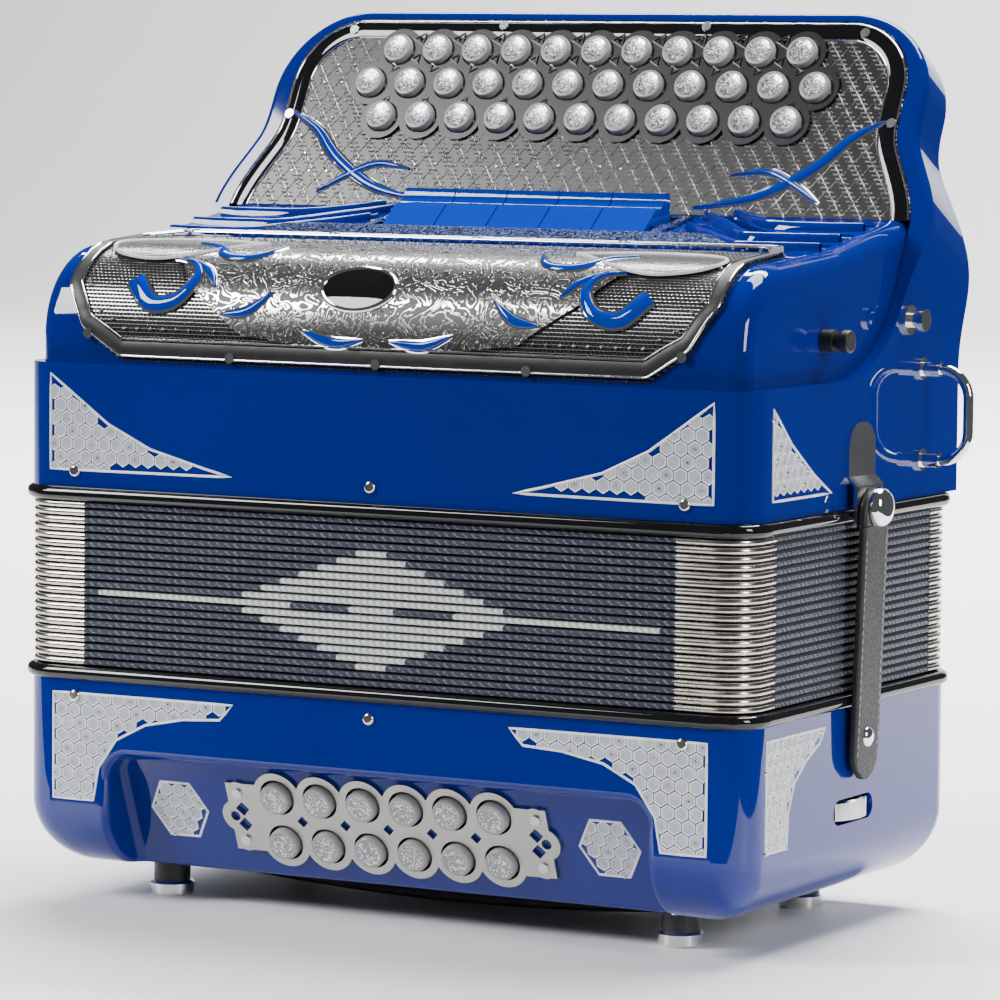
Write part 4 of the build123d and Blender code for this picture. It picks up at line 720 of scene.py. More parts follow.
def ribbon(bm, path, widths, height, place, section=(-1.0, -0.72, 0.0, 0.72, 1.0), material=0, closed=False):
    """Domed strip along a flat path. place turns (along, up, out) into a point of the row frame."""
    lifts = [math.sqrt(max(0.0, 1 - (abs(part) ** 2.4))) for part in section]
    previous = None
    first = None
    count = len(path)
    for index, point in enumerate(path):
        after = Vector(path[(index + 1) % count] if closed else path[min(index + 1, count - 1)])
        before = Vector(path[index - 1] if closed else path[max(index - 1, 0)])
        along = (after - before).normalized()
        side = Vector((-along.y, along.x))
        half = (widths[index] if hasattr(widths, "__len__") else widths) / 2
        spots = [
            place(*(Vector(point) + side * half * part), height * lift)
            for part, lift in zip(section, lifts)
        ]
        if previous is None:
            verts = [bm.verts.new(spot) for spot in spots]
            edges = [bm.edges.new(pair) for pair in zip(verts, verts[1:])]
            first = edges
        else:
            grown = bmesh.ops.extrude_edge_only(bm, edges=previous)["geom"]
            edges = edges_in(grown)
            chain = ordered(edges, [v.co.copy() for v in verts])
            for vert, spot in zip(chain, spots):
                vert.co = spot
            verts = chain
            edges = [bm.edges.get(pair) for pair in zip(verts, verts[1:])]
        previous = edges
    if closed:
        bmesh.ops.bridge_loops(bm, edges=previous + first)
    for edge in first + previous:
        for face in edge.link_faces:
            for near in connected_faces(face):
                near.material_index = material
            break
        break


def connected_faces(face):
    """Faces joined by edges to a face."""
    seen, todo = {face}, [face]
    while todo:
        for edge in todo.pop().edges:
            for other in edge.link_faces:
                if other not in seen:
                    seen.add(other)
                    todo.append(other)
    return seen


def ordered(edges, places):
    """Vertices of fresh edges, in the order of the places that they still stand at."""
    verts = list({v for e in edges for v in e.verts})
    chain = []
    for place in places:
        best = min(verts, key=lambda v: (v.co - place).length_squared)
        verts.remove(best)
        chain.append(best)
    return chain


def curve_points(corners, steps=10):
    """Smooth path through points (Catmull-Rom)."""
    points = [Vector(c) for c in corners]
    points = [2 * points[0] - points[1]] + points + [2 * points[-1] - points[-2]]
    path = []
    for i in range(1, len(points) - 2):
        a, b, c, d = points[i - 1:i + 3]
        for step in range(steps):
            t = step / steps
            path.append(0.5 * (2 * b + (c - a) * t + (2 * a - 5 * b + 4 * c - d) * t * t
                               + (3 * b - a - 3 * c + d) * t ** 3))
    path.append(points[-2])
    return path


def swelling(count, widest, ends=0.12):
    """Widths of a strip that swells towards its middle."""
    return [widest * (ends + (1 - ends) * math.sin(math.pi * i / (count - 1)) ** 0.8) for i in range(count)]


def drop_curl(count, widest):
    """Widths of a comma: broad at its head and drawn to a point at its tail."""
    return [widest * max(0.06, 1 - i / (count - 1)) ** 0.7 for i in range(count)]


# ---------------------------------------------------------------- surfaces to lay ornament on

GRILLE_FRONT = GRILLE_LOW.y
HOOD_TOP_SLOPE = math.radians(9.6)


def grille_profile(along):
    """Point and outward normal of the grille's face, in its (y, z) plane, at a length up from its foot."""
    slope = sizes().hood_front_slope
    radius = sizes().nose_radius
    centre_y = GRILLE_FRONT + radius
    line_z = GRILLE_HIGH.z - (GRILLE_HIGH.y - centre_y) * math.tan(slope)
    centre_z = line_z - radius / math.cos(slope)
    upright = centre_z - GRILLE_LOW.z
    swept = math.pi / 2 - slope
    if along < upright:
        return (GRILLE_FRONT, GRILLE_LOW.z + along), (-1.0, 0.0)
    angle = min((along - upright) / radius, swept)
    normal = (-math.cos(angle), math.sin(angle))
    point = (centre_y + normal[0] * radius, centre_z + normal[1] * radius)
    rest = max(0.0, along - upright - radius * swept)
    return (point[0] + rest * math.cos(slope), point[1] + rest * math.sin(slope)), normal


def on_grille(x, along, out):
    """Point over the grille."""
    (y, z), (ny, nz) = grille_profile(along)
    return Vector((x, y + ny * out, z + nz * out))


def grille_view(x, point):
    """Place in the plane that the grille's outline is drawn in, looking at it from 45 degrees above."""
    return x, ((point.y - GRILLE_FRONT) + (point.z - GRILLE_LOW.z)) / math.sqrt(2)


def grille_hull():
    """Edges of the grille's outline, each as a point on it and its outward direction."""
    points = sorted({
        (round(a, 5), round(b, 5))
        for a, b in (grille_view(co.x, co) for co in node_vertices("grille_plate"))
    })

    def half(sequence):
        chain = []
        for point in sequence:
            while len(chain) > 1:
                (ax, ay), (bx, by) = chain[-2], chain[-1]
                if (bx - ax) * (point[1] - ay) - (by - ay) * (point[0] - ax) > 1e-9:
                    break
                chain.pop()
            chain.append(point)
        return chain

    hull = half(points)[:-1] + half(points[::-1])[:-1]
    found = []
    for (ax, ay), (bx, by) in zip(hull, hull[1:] + hull[:1]):
        length = math.hypot(bx - ax, by - ay)
        if length > 0.0004:
            found.append(((ax, ay), ((by - ay) / length, -(bx - ax) / length)))
    return found


def grille_sheet(bm, hull, inset, lift, cell=0.004):
    """Sheet over the grille, cut to its outline drawn in by an inset."""
    length = 0.100
    grid = bmesh.ops.create_grid(bm, x_segments=int(0.304 / cell), y_segments=int(length / cell), size=1.0)
    flat = flat_layer(bm)
    verts = grid["verts"]
    for vert in verts:
        vert.co = Vector((vert.co.x * 0.152, (vert.co.y + 1) * length / 2, 0))
    faces = {f for v in verts for f in v.link_faces}
    for face in faces:
        for loop in face.loops:
            loop[flat].uv = (loop.vert.co.x, loop.vert.co.y)
    for vert in verts:
        vert.co = on_grille(vert.co.x, vert.co.y, lift)
    kept = list(verts)
    for (px, pu), (nx, nu) in hull:
        normal = Vector((nx, nu / math.sqrt(2), nu / math.sqrt(2)))
        place = Vector((px, GRILLE_FRONT + pu / math.sqrt(2), GRILLE_LOW.z + pu / math.sqrt(2)))
        geometry = set(kept) | {e for v in kept for e in v.link_edges}
        geometry |= {f for v in kept for f in v.link_faces}
        cut = bmesh.ops.bisect_plane(
            bm, geom=list(geometry), plane_co=place - normal * inset, plane_no=normal,
            clear_outer=True, clear_inner=False,
        )
        found = set(kept) | set(vertices_in(cut["geom"] + cut["geom_cut"]))
        kept = [v for v in found if v.is_valid]
    return kept


def thicken(bm, verts, thickness):
    """Gives a sheet its edge thickness, growing outwards."""
    faces = list({f for v in verts if v.is_valid for f in v.link_faces})
    bmesh.ops.recalc_face_normals(bm, faces=faces)
    bmesh.ops.solidify(bm, geom=faces, thickness=thickness)


def treble_cover_point(x, y, out):
    """Point over the hood, found by dropping a line onto it."""
    hood = surface("treble_hood")
    hit = hood.ray_cast(Vector((x, y, HOOD_HIGH.z + 0.05)), Vector((0, 0, -1)))[0]
    if hit is None:
        hit = Vector((x, y, HOOD_HIGH.z))
    return hit + Vector((0, 0, out))


SURFACES = {}


def surface(node):
    """Search tree over a CAD node's faces."""
    if node not in SURFACES:
        mesh = frame["nodes"][node].data
        SURFACES[node] = BVHTree.FromPolygons(
            [v.co for v in mesh.vertices], [p.vertices for p in mesh.polygons]
        )
    return SURFACES[node]


def dress(node, material):
    """Gives a CAD node a finish."""
    piece = frame["nodes"][node]
    piece.data.materials.clear()
    piece.data.materials.append(material)
    return piece


# ---------------------------------------------------------------- operators


class ACCORDION_OT_finishes(bpy.types.Operator):
    """Build the finishes and put them on the CAD parts"""

    bl_idname = "accordion.finishes"
    bl_label = "Finishes"

    def execute(self, context):
        tint = colours()
        kinds = FINISHES
        kinds["lacquer"] = lacquer_finish("Blue lacquer", tint.lacquer)
        kinds["accent"] = lacquer_finish("Accent blue", tint.accent, 0.12)
        kinds["black"] = lacquer_finish("Black celluloid", (0.006, 0.006, 0.007), 0.07)
        kinds["nickel"] = metal_finish("Polished nickel", (0.80, 0.79, 0.76))
        kinds["chrome"] = metal_finish("Chrome", (0.88, 0.89, 0.90), 0.06, 0.06)
        kinds["satin"] = metal_finish("Satin nickel", (0.56, 0.55, 0.52), 0.3, 0.2, 260.0)
        kinds["ring"] = metal_finish("Warm nickel", (0.60, 0.56, 0.51), 0.2)
        kinds["steel"] = metal_finish("Bright steel", (0.62, 0.62, 0.61), 0.25)
        kinds["brass"] = metal_finish("Brass", (0.72, 0.52, 0.22), 0.3)
        kinds["dark"] = plain_plastic("Black plastic", (0.012, 0.012, 0.012), 0.45)
        kinds["pearl"] = glitter_finish("Pearl glitter", (0.30, 0.31, 0.32), (0.95, 0.95, 0.93), 1500.0)
        kinds["rim"] = plain_plastic("Grey rim", (0.30, 0.30, 0.30), 0.3)
        kinds["cell"] = plain_plastic("Grey pearl", (0.42, 0.44, 0.48), 0.22)
        kinds["white"] = plain_plastic("White enamel", (0.78, 0.79, 0.80), 0.25)
        kinds["gem"] = gem_finish("Clear stone", (0.95, 0.96, 1.0))
        kinds["night"] = glitter_finish("Night blue glitter", (0.004, 0.012, 0.06), (0.05, 0.12, 0.45),
                                        1600.0)
        kinds["leather"] = leather_finish("Black leather", tint.leather)
        kinds["thread"] = plain_plastic("Grey thread", (0.30, 0.30, 0.32), 0.7)
        kinds["wood"] = wood_finish()
        kinds["cloth"] = cloth_finish()
        kinds["key_cut"] = engraved_finish("Cut keyboard plate", key_place, 0.0086, 0.0060)
        kinds["mesh"] = mesh_plate_finish("Perforated sheet", flat_place, 0.0019)
        kinds["fine_mesh"] = mesh_plate_finish("Fine perforated sheet", flat_place, 0.0013)
        kinds["scroll"] = filigree_finish("Scrollwork", flat_place)
        given = {
            "lacquer": ("bass_casing", "treble_casing", "treble_hood", "keyboard_frame"),
            "accent": tuple(f"register_switch_{n}" for n in range(1, 6)),
            "black": ("bass_bellows_frame", "treble_bellows_frame"),
            "nickel": (
                "feet_caps", "bass_pins_and_screws", "treble_bellows_pins", "plate_screws",
                "strap_buttons",
            ),
            "satin": ("bass_button_plate",),
            "chrome": ("strap_handles", "strap_brackets"),
            "steel": ("lever_axle", "lever_row_1", "lever_row_2", "lever_row_3", "hand_strap_fittings"),
            "dark": ("feet_posts", "bass_cover", "air_button", "air_valve_flap", "tone_knob"),
            "night": ("register_housing",),
            "wood": ("bass_soundboard", "treble_soundboard", "bass_reed_blocks", "treble_reed_blocks"),
            "brass": ("bass_reed_plates", "treble_reed_plates"),
            "key_cut": ("keyboard_plate",),
        }
        for kind, nodes in given.items():
            for node in nodes:
                if node in frame["nodes"]:
                    dress(node, kinds[kind])
        for node in ("register_switch_1", "register_switch_2", "register_switch_3",
                     "register_switch_4", "register_switch_5", "strap_handles"):
            soften = frame["nodes"][node].modifiers.new("Soft edges", "BEVEL")
            soften.width = 0.6 * MM
            soften.segments = 2
            soften.limit_method = "ANGLE"
            soften.angle_limit = math.radians(40)
        return {"FINISHED"}


def key_place(maker):
    """Coordinates on the keyboard's face: along it, up it and out of it."""
    turn = maker.add("ShaderNodeVectorRotate", rotation_type="X_AXIS",
                     inputs={"Vector": object_place(maker), "Angle": -math.atan2(KEY_UP.z, KEY_UP.y)})
    return turn.outputs["Vector"]


def flat_place(maker):
    """Coordinates of a sheet laid flat."""
    return maker.add("ShaderNodeUVMap", uv_map="Flat").outputs["UV"]


def ring_at(co, half_x, half_y, radius):
    """Corner centre beneath a point of a rounded rectangle, and the direction out from it."""
    centre = Vector((
        min(max(co.x, radius - half_x), half_x - radius),
        min(max(co.y - MID_Y, radius - half_y), half_y - radius) + MID_Y,
        co.z,
    ))
    return centre, (co - centre).normalized()


def rounded_ring(bm, half_x, half_y, radius, z, steps=8):
    """Edges of a rounded rectangle, with a vertex at the middle of its front and of its back."""
    verts = bmesh.ops.create_grid(bm, x_segments=1, y_segments=1, size=1.0)["verts"]
    for vert in verts:
        vert.co = Vector((vert.co.x * half_x, MID_Y + vert.co.y * half_y, z))
    made = bmesh.ops.bevel(
        bm, geom=verts, offset=radius, offset_type="OFFSET", segments=steps, profile=0.5,
        affect="VERTICES", material=-1,
    )
    face = made["faces"][0] if made["faces"] else next(iter(bm.faces))
    face = max((f for v in made["verts"] for f in v.link_faces), key=lambda f: f.calc_area())
    edges = list(face.edges)
    bmesh.ops.delete(bm, geom=[face], context="FACES_ONLY")
    level = [e for e in edges if abs(e.verts[0].co.y - e.verts[1].co.y) < 1e-6]
    long_edges = [e for e in level if e.calc_length() > half_x]
    made = bmesh.ops.subdivide_edges(bm, edges=long_edges, cuts=1)
    fresh = {g for g in made["geom_split"] if isinstance(g, bmesh.types.BMEdge)}
    return [e for e in set(edges) | fresh if e.is_valid]


class ACCORDION_OT_bellows(bpy.types.Operator):
    """Fold the cloth bellows and put the metal rings on its corners"""

    bl_idname = "accordion.bellows"
    bl_label = "Bellows"

    def execute(self, context):
        count = sizes().fold_count
        pitch = (FOLDS_HIGH.z - FOLDS_LOW.z) / count
        half_x, half_y, radius = FOLDS_HIGH.x, (FOLDS_HIGH.y - FOLDS_LOW.y) / 2, 0.0144
        depth = sizes().fold_depth
        bm = bmesh.new()
        edges = rounded_ring(bm, half_x, half_y, radius, FOLDS_LOW.z)
        levels = [(depth, 0.0)]
        for fold in range(count):
            low = fold * pitch
            levels += [
                (0.0009, low + 0.18 * pitch), (0.0002, low + 0.27 * pitch), (0.0, low + 0.5 * pitch),
                (0.0002, low + 0.73 * pitch), (0.0009, low + 0.82 * pitch), (depth, low + pitch),
            ]
        first = levels[0]
        for vert in {v for e in edges for v in e.verts}:
            centre, out = ring_at(vert.co, half_x, half_y, radius)
            vert.co = centre + out * (radius - first[0])
        current = edges
        for inset, rise in levels[1:]:
            grown = bmesh.ops.extrude_edge_only(bm, edges=current)["geom"]
            current = edges_in(grown)
            for vert in {v for e in current for v in e.verts}:
                centre, out = ring_at(vert.co, half_x, half_y, radius)
                spot = centre + out * (radius - inset)
                vert.co = Vector((spot.x, spot.y, FOLDS_LOW.z + rise))
        cloth = bm.loops.layers.uv.new("Cloth")
        quarter = math.pi / 2 * radius
        for face in bm.faces:
            side = face.calc_center_median()
            for loop in face.loops:
                loop[cloth].uv = (
                    self.round_distance(loop.vert.co, side, half_x, half_y, radius, quarter),
                    (loop.vert.co.z - FOLDS_LOW.z) / pitch,
                )
        skin = make_object("bellows_skin", bm, FINISHES["cloth"], smooth=50)
        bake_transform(skin)
        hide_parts("bellows_folds")
        self.corner_rings(count, pitch, half_x, half_y, radius)
        return {"FINISHED"}

    def round_distance(self, co, side, half_x, half_y, radius, quarter):
        """Distance round the bellows from the middle of the front."""
        straight_x, straight_y = half_x - radius, half_y - radius
        sign = 1 if side.x > 0 else -1
        centre, out = ring_at(co, half_x, half_y, radius)
        angle = math.atan2(abs(out.x), -out.y)
        if angle < 1e-3 or abs(co.x) < straight_x - 1e-6:
            distance = abs(co.x) if side.y < MID_Y else 2 * (straight_x + quarter + straight_y) - abs(co.x)
            return sign * distance
        if angle <= math.pi / 2:
            return sign * (straight_x + angle / (math.pi / 2) * quarter
                           + (centre.y - MID_Y + straight_y if angle > math.pi / 2 - 1e-3 else 0))
        return sign * (straight_x + quarter + 2 * straight_y + (angle / (math.pi / 2) - 1) * quarter)

    def corner_rings(self, count, pitch, half_x, half_y, radius):
        """Half-round metal rings that cap the corners of each fold."""
        bm = bmesh.new()
        path = [Vector((half_x - 0.0306, -half_y, 0)), Vector((half_x - radius, -half_y, 0))]
        path += [
            Vector((half_x - radius + math.sin(a) * radius, -half_y + radius - math.cos(a) * radius, 0))
            for a in [math.pi / 2 * i / 8 for i in range(1, 9)]
        ]
        path.append(Vector((half_x, -half_y + 0.0236, 0)))
        section = [(0.0012, -0.0013), (0.0003, -0.00115), (-0.0002, -0.0006), (-0.0002, 0.0006),
                   (0.0003, 0.00115), (0.0012, 0.0013)]
        rows = []
        for inset, rise in section:
            row = []
            for point in path:
                centre = Vector((min(point.x, half_x - radius), max(point.y, radius - half_y), 0))
                out = (point - centre).normalized()
                spot = centre + out * (radius - inset)
                row.append(bm.verts.new((spot.x, spot.y + MID_Y, rise)))
            rows.append(row)
        strips = [[bm.edges.new(pair) for pair in zip(row, row[1:])] for row in rows]
        for low, high in zip(strips, strips[1:]):
            bmesh.ops.bridge_loops(bm, edges=low + high)
        bmesh.ops.recalc_face_normals(bm, faces=bm.faces[:])
        bmesh.ops.translate(bm, vec=(0, 0, FOLDS_LOW.z + pitch / 2), verts=bm.verts[:])
        for axis in ("X", "Y"):
            origin = Matrix.Translation((0, -MID_Y, 0))
            bmesh.ops.mirror(bm, geom=bm.verts[:] + bm.edges[:] + bm.faces[:], matrix=origin,
                             merge_dist=-1, axis=axis, mirror_u=False, mirror_v=False)
        source = bm.verts[:] + bm.edges[:] + bm.faces[:]
        for fold in range(1, count):
            copy = bmesh.ops.duplicate(bm, geom=source)["geom"]
            bmesh.ops.translate(bm, vec=(0, 0, fold * pitch), verts=vertices_in(copy))
        rings = make_object("corner_rings", bm, FINISHES["ring"], smooth=60)
        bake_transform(rings)
        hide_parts("bellows_corner_clips")


def cap_profile(radius, stand):
    """Side view of a button cap with a rounded rim and a shallow dish, down to its skirt."""
    return [
        (0.0, -0.0004), (radius * 0.45, -0.00035), (radius * 0.78, -0.00012), (radius * 0.86, 0.0),
        (radius * 0.95, -0.0002), (radius * 0.99, -0.0008), (radius, -0.0016), (radius, -stand),
        (0.0, -stand),
    ]


def add_cap(bm, matrix, radius, length):
    """One cap, its dish set with glitter and its rim plain."""
    known = set(bm.faces)
    spun(bm, cap_profile(radius, length), matrix, steps=32)
    inverse = matrix.inverted()
    for face in set(bm.faces) - known:
        local = inverse @ face.calc_center_median()
        away = math.hypot(local.x, local.y)
        face.material_index = 0 if away < radius * 0.80 and local.z > -0.001 else 1


def crown_matrix(number):
    """Place of the top of a bass button, on its own axis, facing out of the button plate."""
    vertices = node_vertices(f"bass_button_{number:02d}")
    top = max(co.dot(BASS_OUT) for co in vertices)
    crown = [co for co in vertices if co.dot(BASS_OUT) > top - 0.0002]
    middle = sum(crown, Vector()) / len(crown)
    turn = Matrix((Vector((1, 0, 0)), BASS_UP, BASS_OUT)).transposed().to_4x4()
    return Matrix.Translation(middle + BASS_OUT * (top - middle.dot(BASS_OUT))) @ turn


class ACCORDION_OT_buttons(bpy.types.Operator):
    """Turn the treble and bass buttons, their wells and the small open triangles between them"""

    bl_idname = "accordion.buttons"
    bl_label = "Buttons"

    def execute(self, context):
        pitch = sizes().treble_pitch
        radius = sizes().button_diameter / 2
        finishes = [FINISHES["pearl"], FINISHES["rim"]]
        wells = bmesh.new()
        for row, up in enumerate(ROW_UP, start=1):
            vertices = node_vertices(f"button_row_{row}")
            reach = max(co.x for co in vertices) - radius
            count = round(2 * reach / pitch) + 1
            stand = max(co.dot(KEY_OUT) for co in vertices) - KEY_FACE
            bm = bmesh.new()
            for index in range(count):
                x = (index - (count - 1) / 2) * pitch
                add_cap(bm, key_matrix(x, up - KEY_MIDDLE_UP, stand), radius, 0.0066)
                prism(bm, 12, 0.002, 0.0128, key_matrix(x, up - KEY_MIDDLE_UP, stand - 0.0192), material=1)
                # Painted shade: black sleeves line each button hole and rise in a thin rim; their black
                # stands in for the shade round the caps.
                spun(wells, [(0.0, -0.012), (0.00745, -0.012), (0.00745, 0.0010), (0.0072, 0.0013),
                             (0.0070, 0.0011), (0.0070, -0.0115), (0.0, -0.0115)],
                     key_matrix(x, up - KEY_MIDDLE_UP, 0.0), steps=28)
            caps = make_object(f"treble_caps_{row}", bm, finishes, f"button_row_{row}_body")
            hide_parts(f"button_row_{row}")
        bmesh.ops.delete(wells, geom=[f for f in wells.faces if is_well_floor(f)], context="FACES")
        make_object("button_shade_wells", wells, FINISHES["black"], "treble_side")
        for number in range(1, 13):
            matrix = crown_matrix(number)
            bm = bmesh.new()
            add_cap(bm, matrix, radius, 0.0066)
            prism(bm, 12, 0.002, 0.0120, matrix @ Matrix.Translation((0, 0, -0.0185)), material=1)
            node = f"bass_button_{number:02d}"
            cap = make_object(f"bass_cap_{number:02d}", bm, finishes, f"{node}_body")
            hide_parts(node)
        self.bass_shade_wells()
        self.stones(pitch)
        return {"FINISHED"}

    def bass_shade_wells(self):
        """Black sleeves behind the bass button plate, as painted shade: their black stands in for the shade
        in the button holes.
        """
        bm = bmesh.new()
        for number in range(1, 13):
            crown = crown_matrix(number)
            rise = BASS_FACE - crown.translation.dot(BASS_OUT)
            shade_sleeve = [(0.0, -0.0105), (0.0077, -0.0105), (0.0077, -0.0003), (0.0075, 0.0), (0.0072, -0.0006),
                      (0.0072, -0.0100), (0.0, -0.0100)]
            spun(bm, shade_sleeve, crown @ Matrix.Translation((0, 0, rise)), 28)
        floors = [f for f in bm.faces if abs(f.normal.dot(BASS_OUT)) > 0.99
                  and f.calc_center_median().dot(BASS_OUT) < BASS_FACE - 0.009]
        bmesh.ops.delete(bm, geom=floors, context="FACES")
        make_object("bass_shade_wells", bm, FINISHES["black"], "bass_side")

    def stones(self, pitch):
        """Small open triangles between the buttons, and smaller ones beside them."""
        bm = bmesh.new()
        rise = 0.0013
        for index in range(10):
            x = (index - 4.5) * pitch
            for above, size in ((0.0052, 0.0038), (-0.0042, 0.0027)):
                place = key_matrix(x, ROW_UP[0] - KEY_MIDDLE_UP + above, rise - 0.0003)
                place = place @ Matrix.Rotation(math.pi / 6, 4, "Z") @ Matrix.Rotation(math.pi, 4, "Z")
                prism(bm, 3, size, 0.0008, place, hole=size * 0.55)
        for index in range(11):
            x = (index - 5) * pitch
            for up in (0.0075, -0.0085):
                turn = math.copysign(math.pi / 6, up)
                place = key_matrix(x, up, rise - 0.0003) @ Matrix.Rotation(turn, 4, "Z")
                prism(bm, 3, 0.0024, 0.0007, place, hole=0.0012)
        make_object("button_triangles", bm, FINISHES["chrome"], "treble_side")


def is_well_floor(face):
    """Whether a face of a well is one of its two floors, which the stem passes through."""
    return abs(face.normal.dot(KEY_OUT)) > 0.99 and face.calc_center_median().dot(KEY_OUT) < KEY_FACE - 0.01


class ACCORDION_OT_grille(bpy.types.Operator):
    """Lay the pierced grille over the hood with its border, scrolls, stones and oval badge"""

    bl_idname = "accordion.grille"
    bl_label = "Grille"

    def execute(self, context):
        hull = grille_hull()
        border = sizes().grille_border
        bm = bmesh.new()
        base = grille_sheet(bm, hull, 0.0, -0.0010)
        thicken(bm, base, 0.0004)
        sheet = make_object("grille_sheet", bm, FINISHES["mesh"], "treble_side", 50)
        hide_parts("grille_plate")
        self.border(hull, border)
        self.fields()
        self.scrolls()
        self.stones(hull, border)
        return {"FINISHED"}

    def outline(self, hull, inset):
        """Closed path of the grille's outline drawn in by an inset, as (x, along) points."""
        corners = []
        for ((ax, au), (anx, anu)), ((bx, bu), (bnx, bnu)) in zip(hull, hull[1:] + hull[:1]):
            da = anx * ax + anu * au - inset
            db = bnx * bx + bnu * bu - inset
            cross = anx * bnu - anu * bnx
            if abs(cross) > 1e-4:
                corners.append(((da * bnu - db * anu) / cross, (anx * db - bnx * da) / cross))
        path = []
        for (ax, au), (bx, bu) in zip(corners, corners[1:] + corners[:1]):
            steps = max(1, int(math.hypot(bx - ax, bu - au) / 0.006))
            for step in range(steps):
                t = step / steps
                path.append(Vector((ax + (bx - ax) * t, self.along_of(au + (bu - au) * t))))
        return path

    def along_of(self, view):
        """Length up the grille at a height in the plane of its outline."""
        low, high = -0.01, 0.12
        for _ in range(24):
            half = (low + high) / 2
            if grille_view(0, on_grille(0, half, 0))[1] < view:
                low = half
            else:
                high = half
        return low

    def border(self, hull, width):
        """Plain dark border between two bright beads."""
        band = bmesh.new()
        ribbon(band, self.outline(hull, width / 2), width, 0.0004, on_grille, closed=True)
        make_object("grille_border", band, FINISHES["dark"], "treble_side", 50)
        beads = bmesh.new()
        for inset, thick in ((0.0006, 0.0011), (width, 0.0008)):
            ribbon(beads, self.outline(hull, inset), thick, 0.0007, on_grille, closed=True)
        make_object("grille_beads", beads, FINISHES["chrome"], "treble_side", 60)

    def fields(self):
        """Raised fields of scrollwork in the middle, and leaves of finer mesh beside them."""
        bm = bmesh.new()
        uv = flat_layer(bm)
        shapes = [
            [(-0.062, 0.012), (-0.030, 0.0085), (0.030, 0.0085), (0.062, 0.012), (0.088, 0.030),
             (0.104, 0.052), (0.110, 0.070), (0.078, 0.0770), (0.0, 0.0790), (-0.078, 0.0770),
             (-0.110, 0.070), (-0.104, 0.052), (-0.088, 0.030)],
        ]
        for shape in shapes:
            self.field(bm, uv, shape, 0.00015)
        make_object("grille_scrollwork", bm, FINISHES["scroll"], "treble_side", 50)
        leaves = bmesh.new()
        uv = flat_layer(leaves)
        outlines = []
        for side in (-1, 1):
            leaf = curve_points([(side * 0.070, 0.066), (side * 0.092, 0.052), (side * 0.112, 0.046),
                                 (side * 0.132, 0.050), (side * 0.138, 0.060), (side * 0.126, 0.070),
                                 (side * 0.100, 0.074), (side * 0.070, 0.066)], 5)
            self.field(leaves, uv, [tuple(p) for p in leaf[:-1]], 0.0004)
            outlines.append(leaf[:-1])
        make_object("grille_leaves", leaves, FINISHES["fine_mesh"], "treble_side", 50)
        trims = bmesh.new()
        for outline in outlines:
            ribbon(trims, outline, 0.0013, 0.0011, on_grille, closed=True)
        make_object("grille_leaf_trims", trims, FINISHES["white"], "treble_side", 60)

    def field(self, bm, uv, shape, lift):
        """Sheet of a flat shape laid on the grille."""
        low = Vector((min(p[0] for p in shape), min(p[1] for p in shape)))
        high = Vector((max(p[0] for p in shape), max(p[1] for p in shape)))
        face = bmesh.ops.contextual_create(bm, geom=[bm.verts.new((x, y, 0)) for x, y in shape])["faces"][0]
        verts = list(face.verts)
        for axis, gap in ((0, 0.006), (1, 0.003)):
            lines = int((high[axis] - low[axis]) / gap)
            for line in range(1, lines):
                normal = Vector((1, 0, 0)) if axis == 0 else Vector((0, 1, 0))
                place = normal * (low[axis] + (high[axis] - low[axis]) * line / lines)
                geometry = set(verts) | {e for v in verts for e in v.link_edges}
                geometry |= {f for v in verts for f in v.link_faces}
                cut = bmesh.ops.bisect_plane(bm, geom=list(geometry), plane_co=place, plane_no=normal)
                verts = list(set(vertices_in(cut["geom"])) | set(verts))
        for face in {f for v in verts for f in v.link_faces}:
            for loop in face.loops:
                loop[uv].uv = (loop.vert.co.x, loop.vert.co.y)
        for vert in verts:
            vert.co = on_grille(vert.co.x, vert.co.y, lift)

    def scrolls(self):
        """Blue curls, each with a thin bright edge."""
        blue, edge = bmesh.new(), bmesh.new()
        strokes = []
        for side in (-1, 1):
            def at(x, along):
                return (side * x, along)

            strokes += [
                (curve_points([at(0.116, 0.034), at(0.106, 0.024), at(0.094, 0.026), at(0.088, 0.036),
                               at(0.092, 0.044), at(0.102, 0.046)], 8), "curl", 0.0085),
                (curve_points([at(0.058, 0.060), at(0.066, 0.050), at(0.080, 0.050), at(0.088, 0.058),
                               at(0.100, 0.062)], 8), "swell", 0.0052),
                (curve_points([at(0.050, 0.030), at(0.060, 0.022), at(0.072, 0.020)], 8), "swell", 0.0042),
                (curve_points([at(0.078, 0.032), at(0.084, 0.040), at(0.094, 0.046)], 8), "swell", 0.0036),
                (curve_points([at(0.006, 0.012), at(0.020, 0.0105), at(0.034, 0.0150)], 8), "swell", 0.0044),
            ]
        for path, kind, widest in strokes:
            widths = drop_curl(len(path), widest) if kind == "curl" else swelling(len(path), widest)
            ribbon(blue, path, widths, 0.0012, on_grille)
            ribbon(edge, path, [w + 0.0013 for w in widths], 0.0006, on_grille)
        make_object("grille_blue_scrolls", blue, FINISHES["accent"], "treble_side", 60)
        make_object("grille_scroll_edges", edge, FINISHES["chrome"], "treble_side", 60)
        badge = bmesh.new()
        ring = [Vector((math.cos(a) * 0.0165 - 0.012, 0.0335 + math.sin(a) * 0.0100))
                for a in [2 * math.pi * i / 48 for i in range(48)]]
        uv = flat_layer(badge)
        self.field(badge, uv, [tuple(p) for p in ring], 0.0009)
        ribbon(badge, ring, 0.0022, 0.0016, on_grille, closed=True, material=1)
        finishes = [FINISHES["black"], FINISHES["chrome"]]
        make_object("grille_badge", badge, finishes, "treble_side", 50)

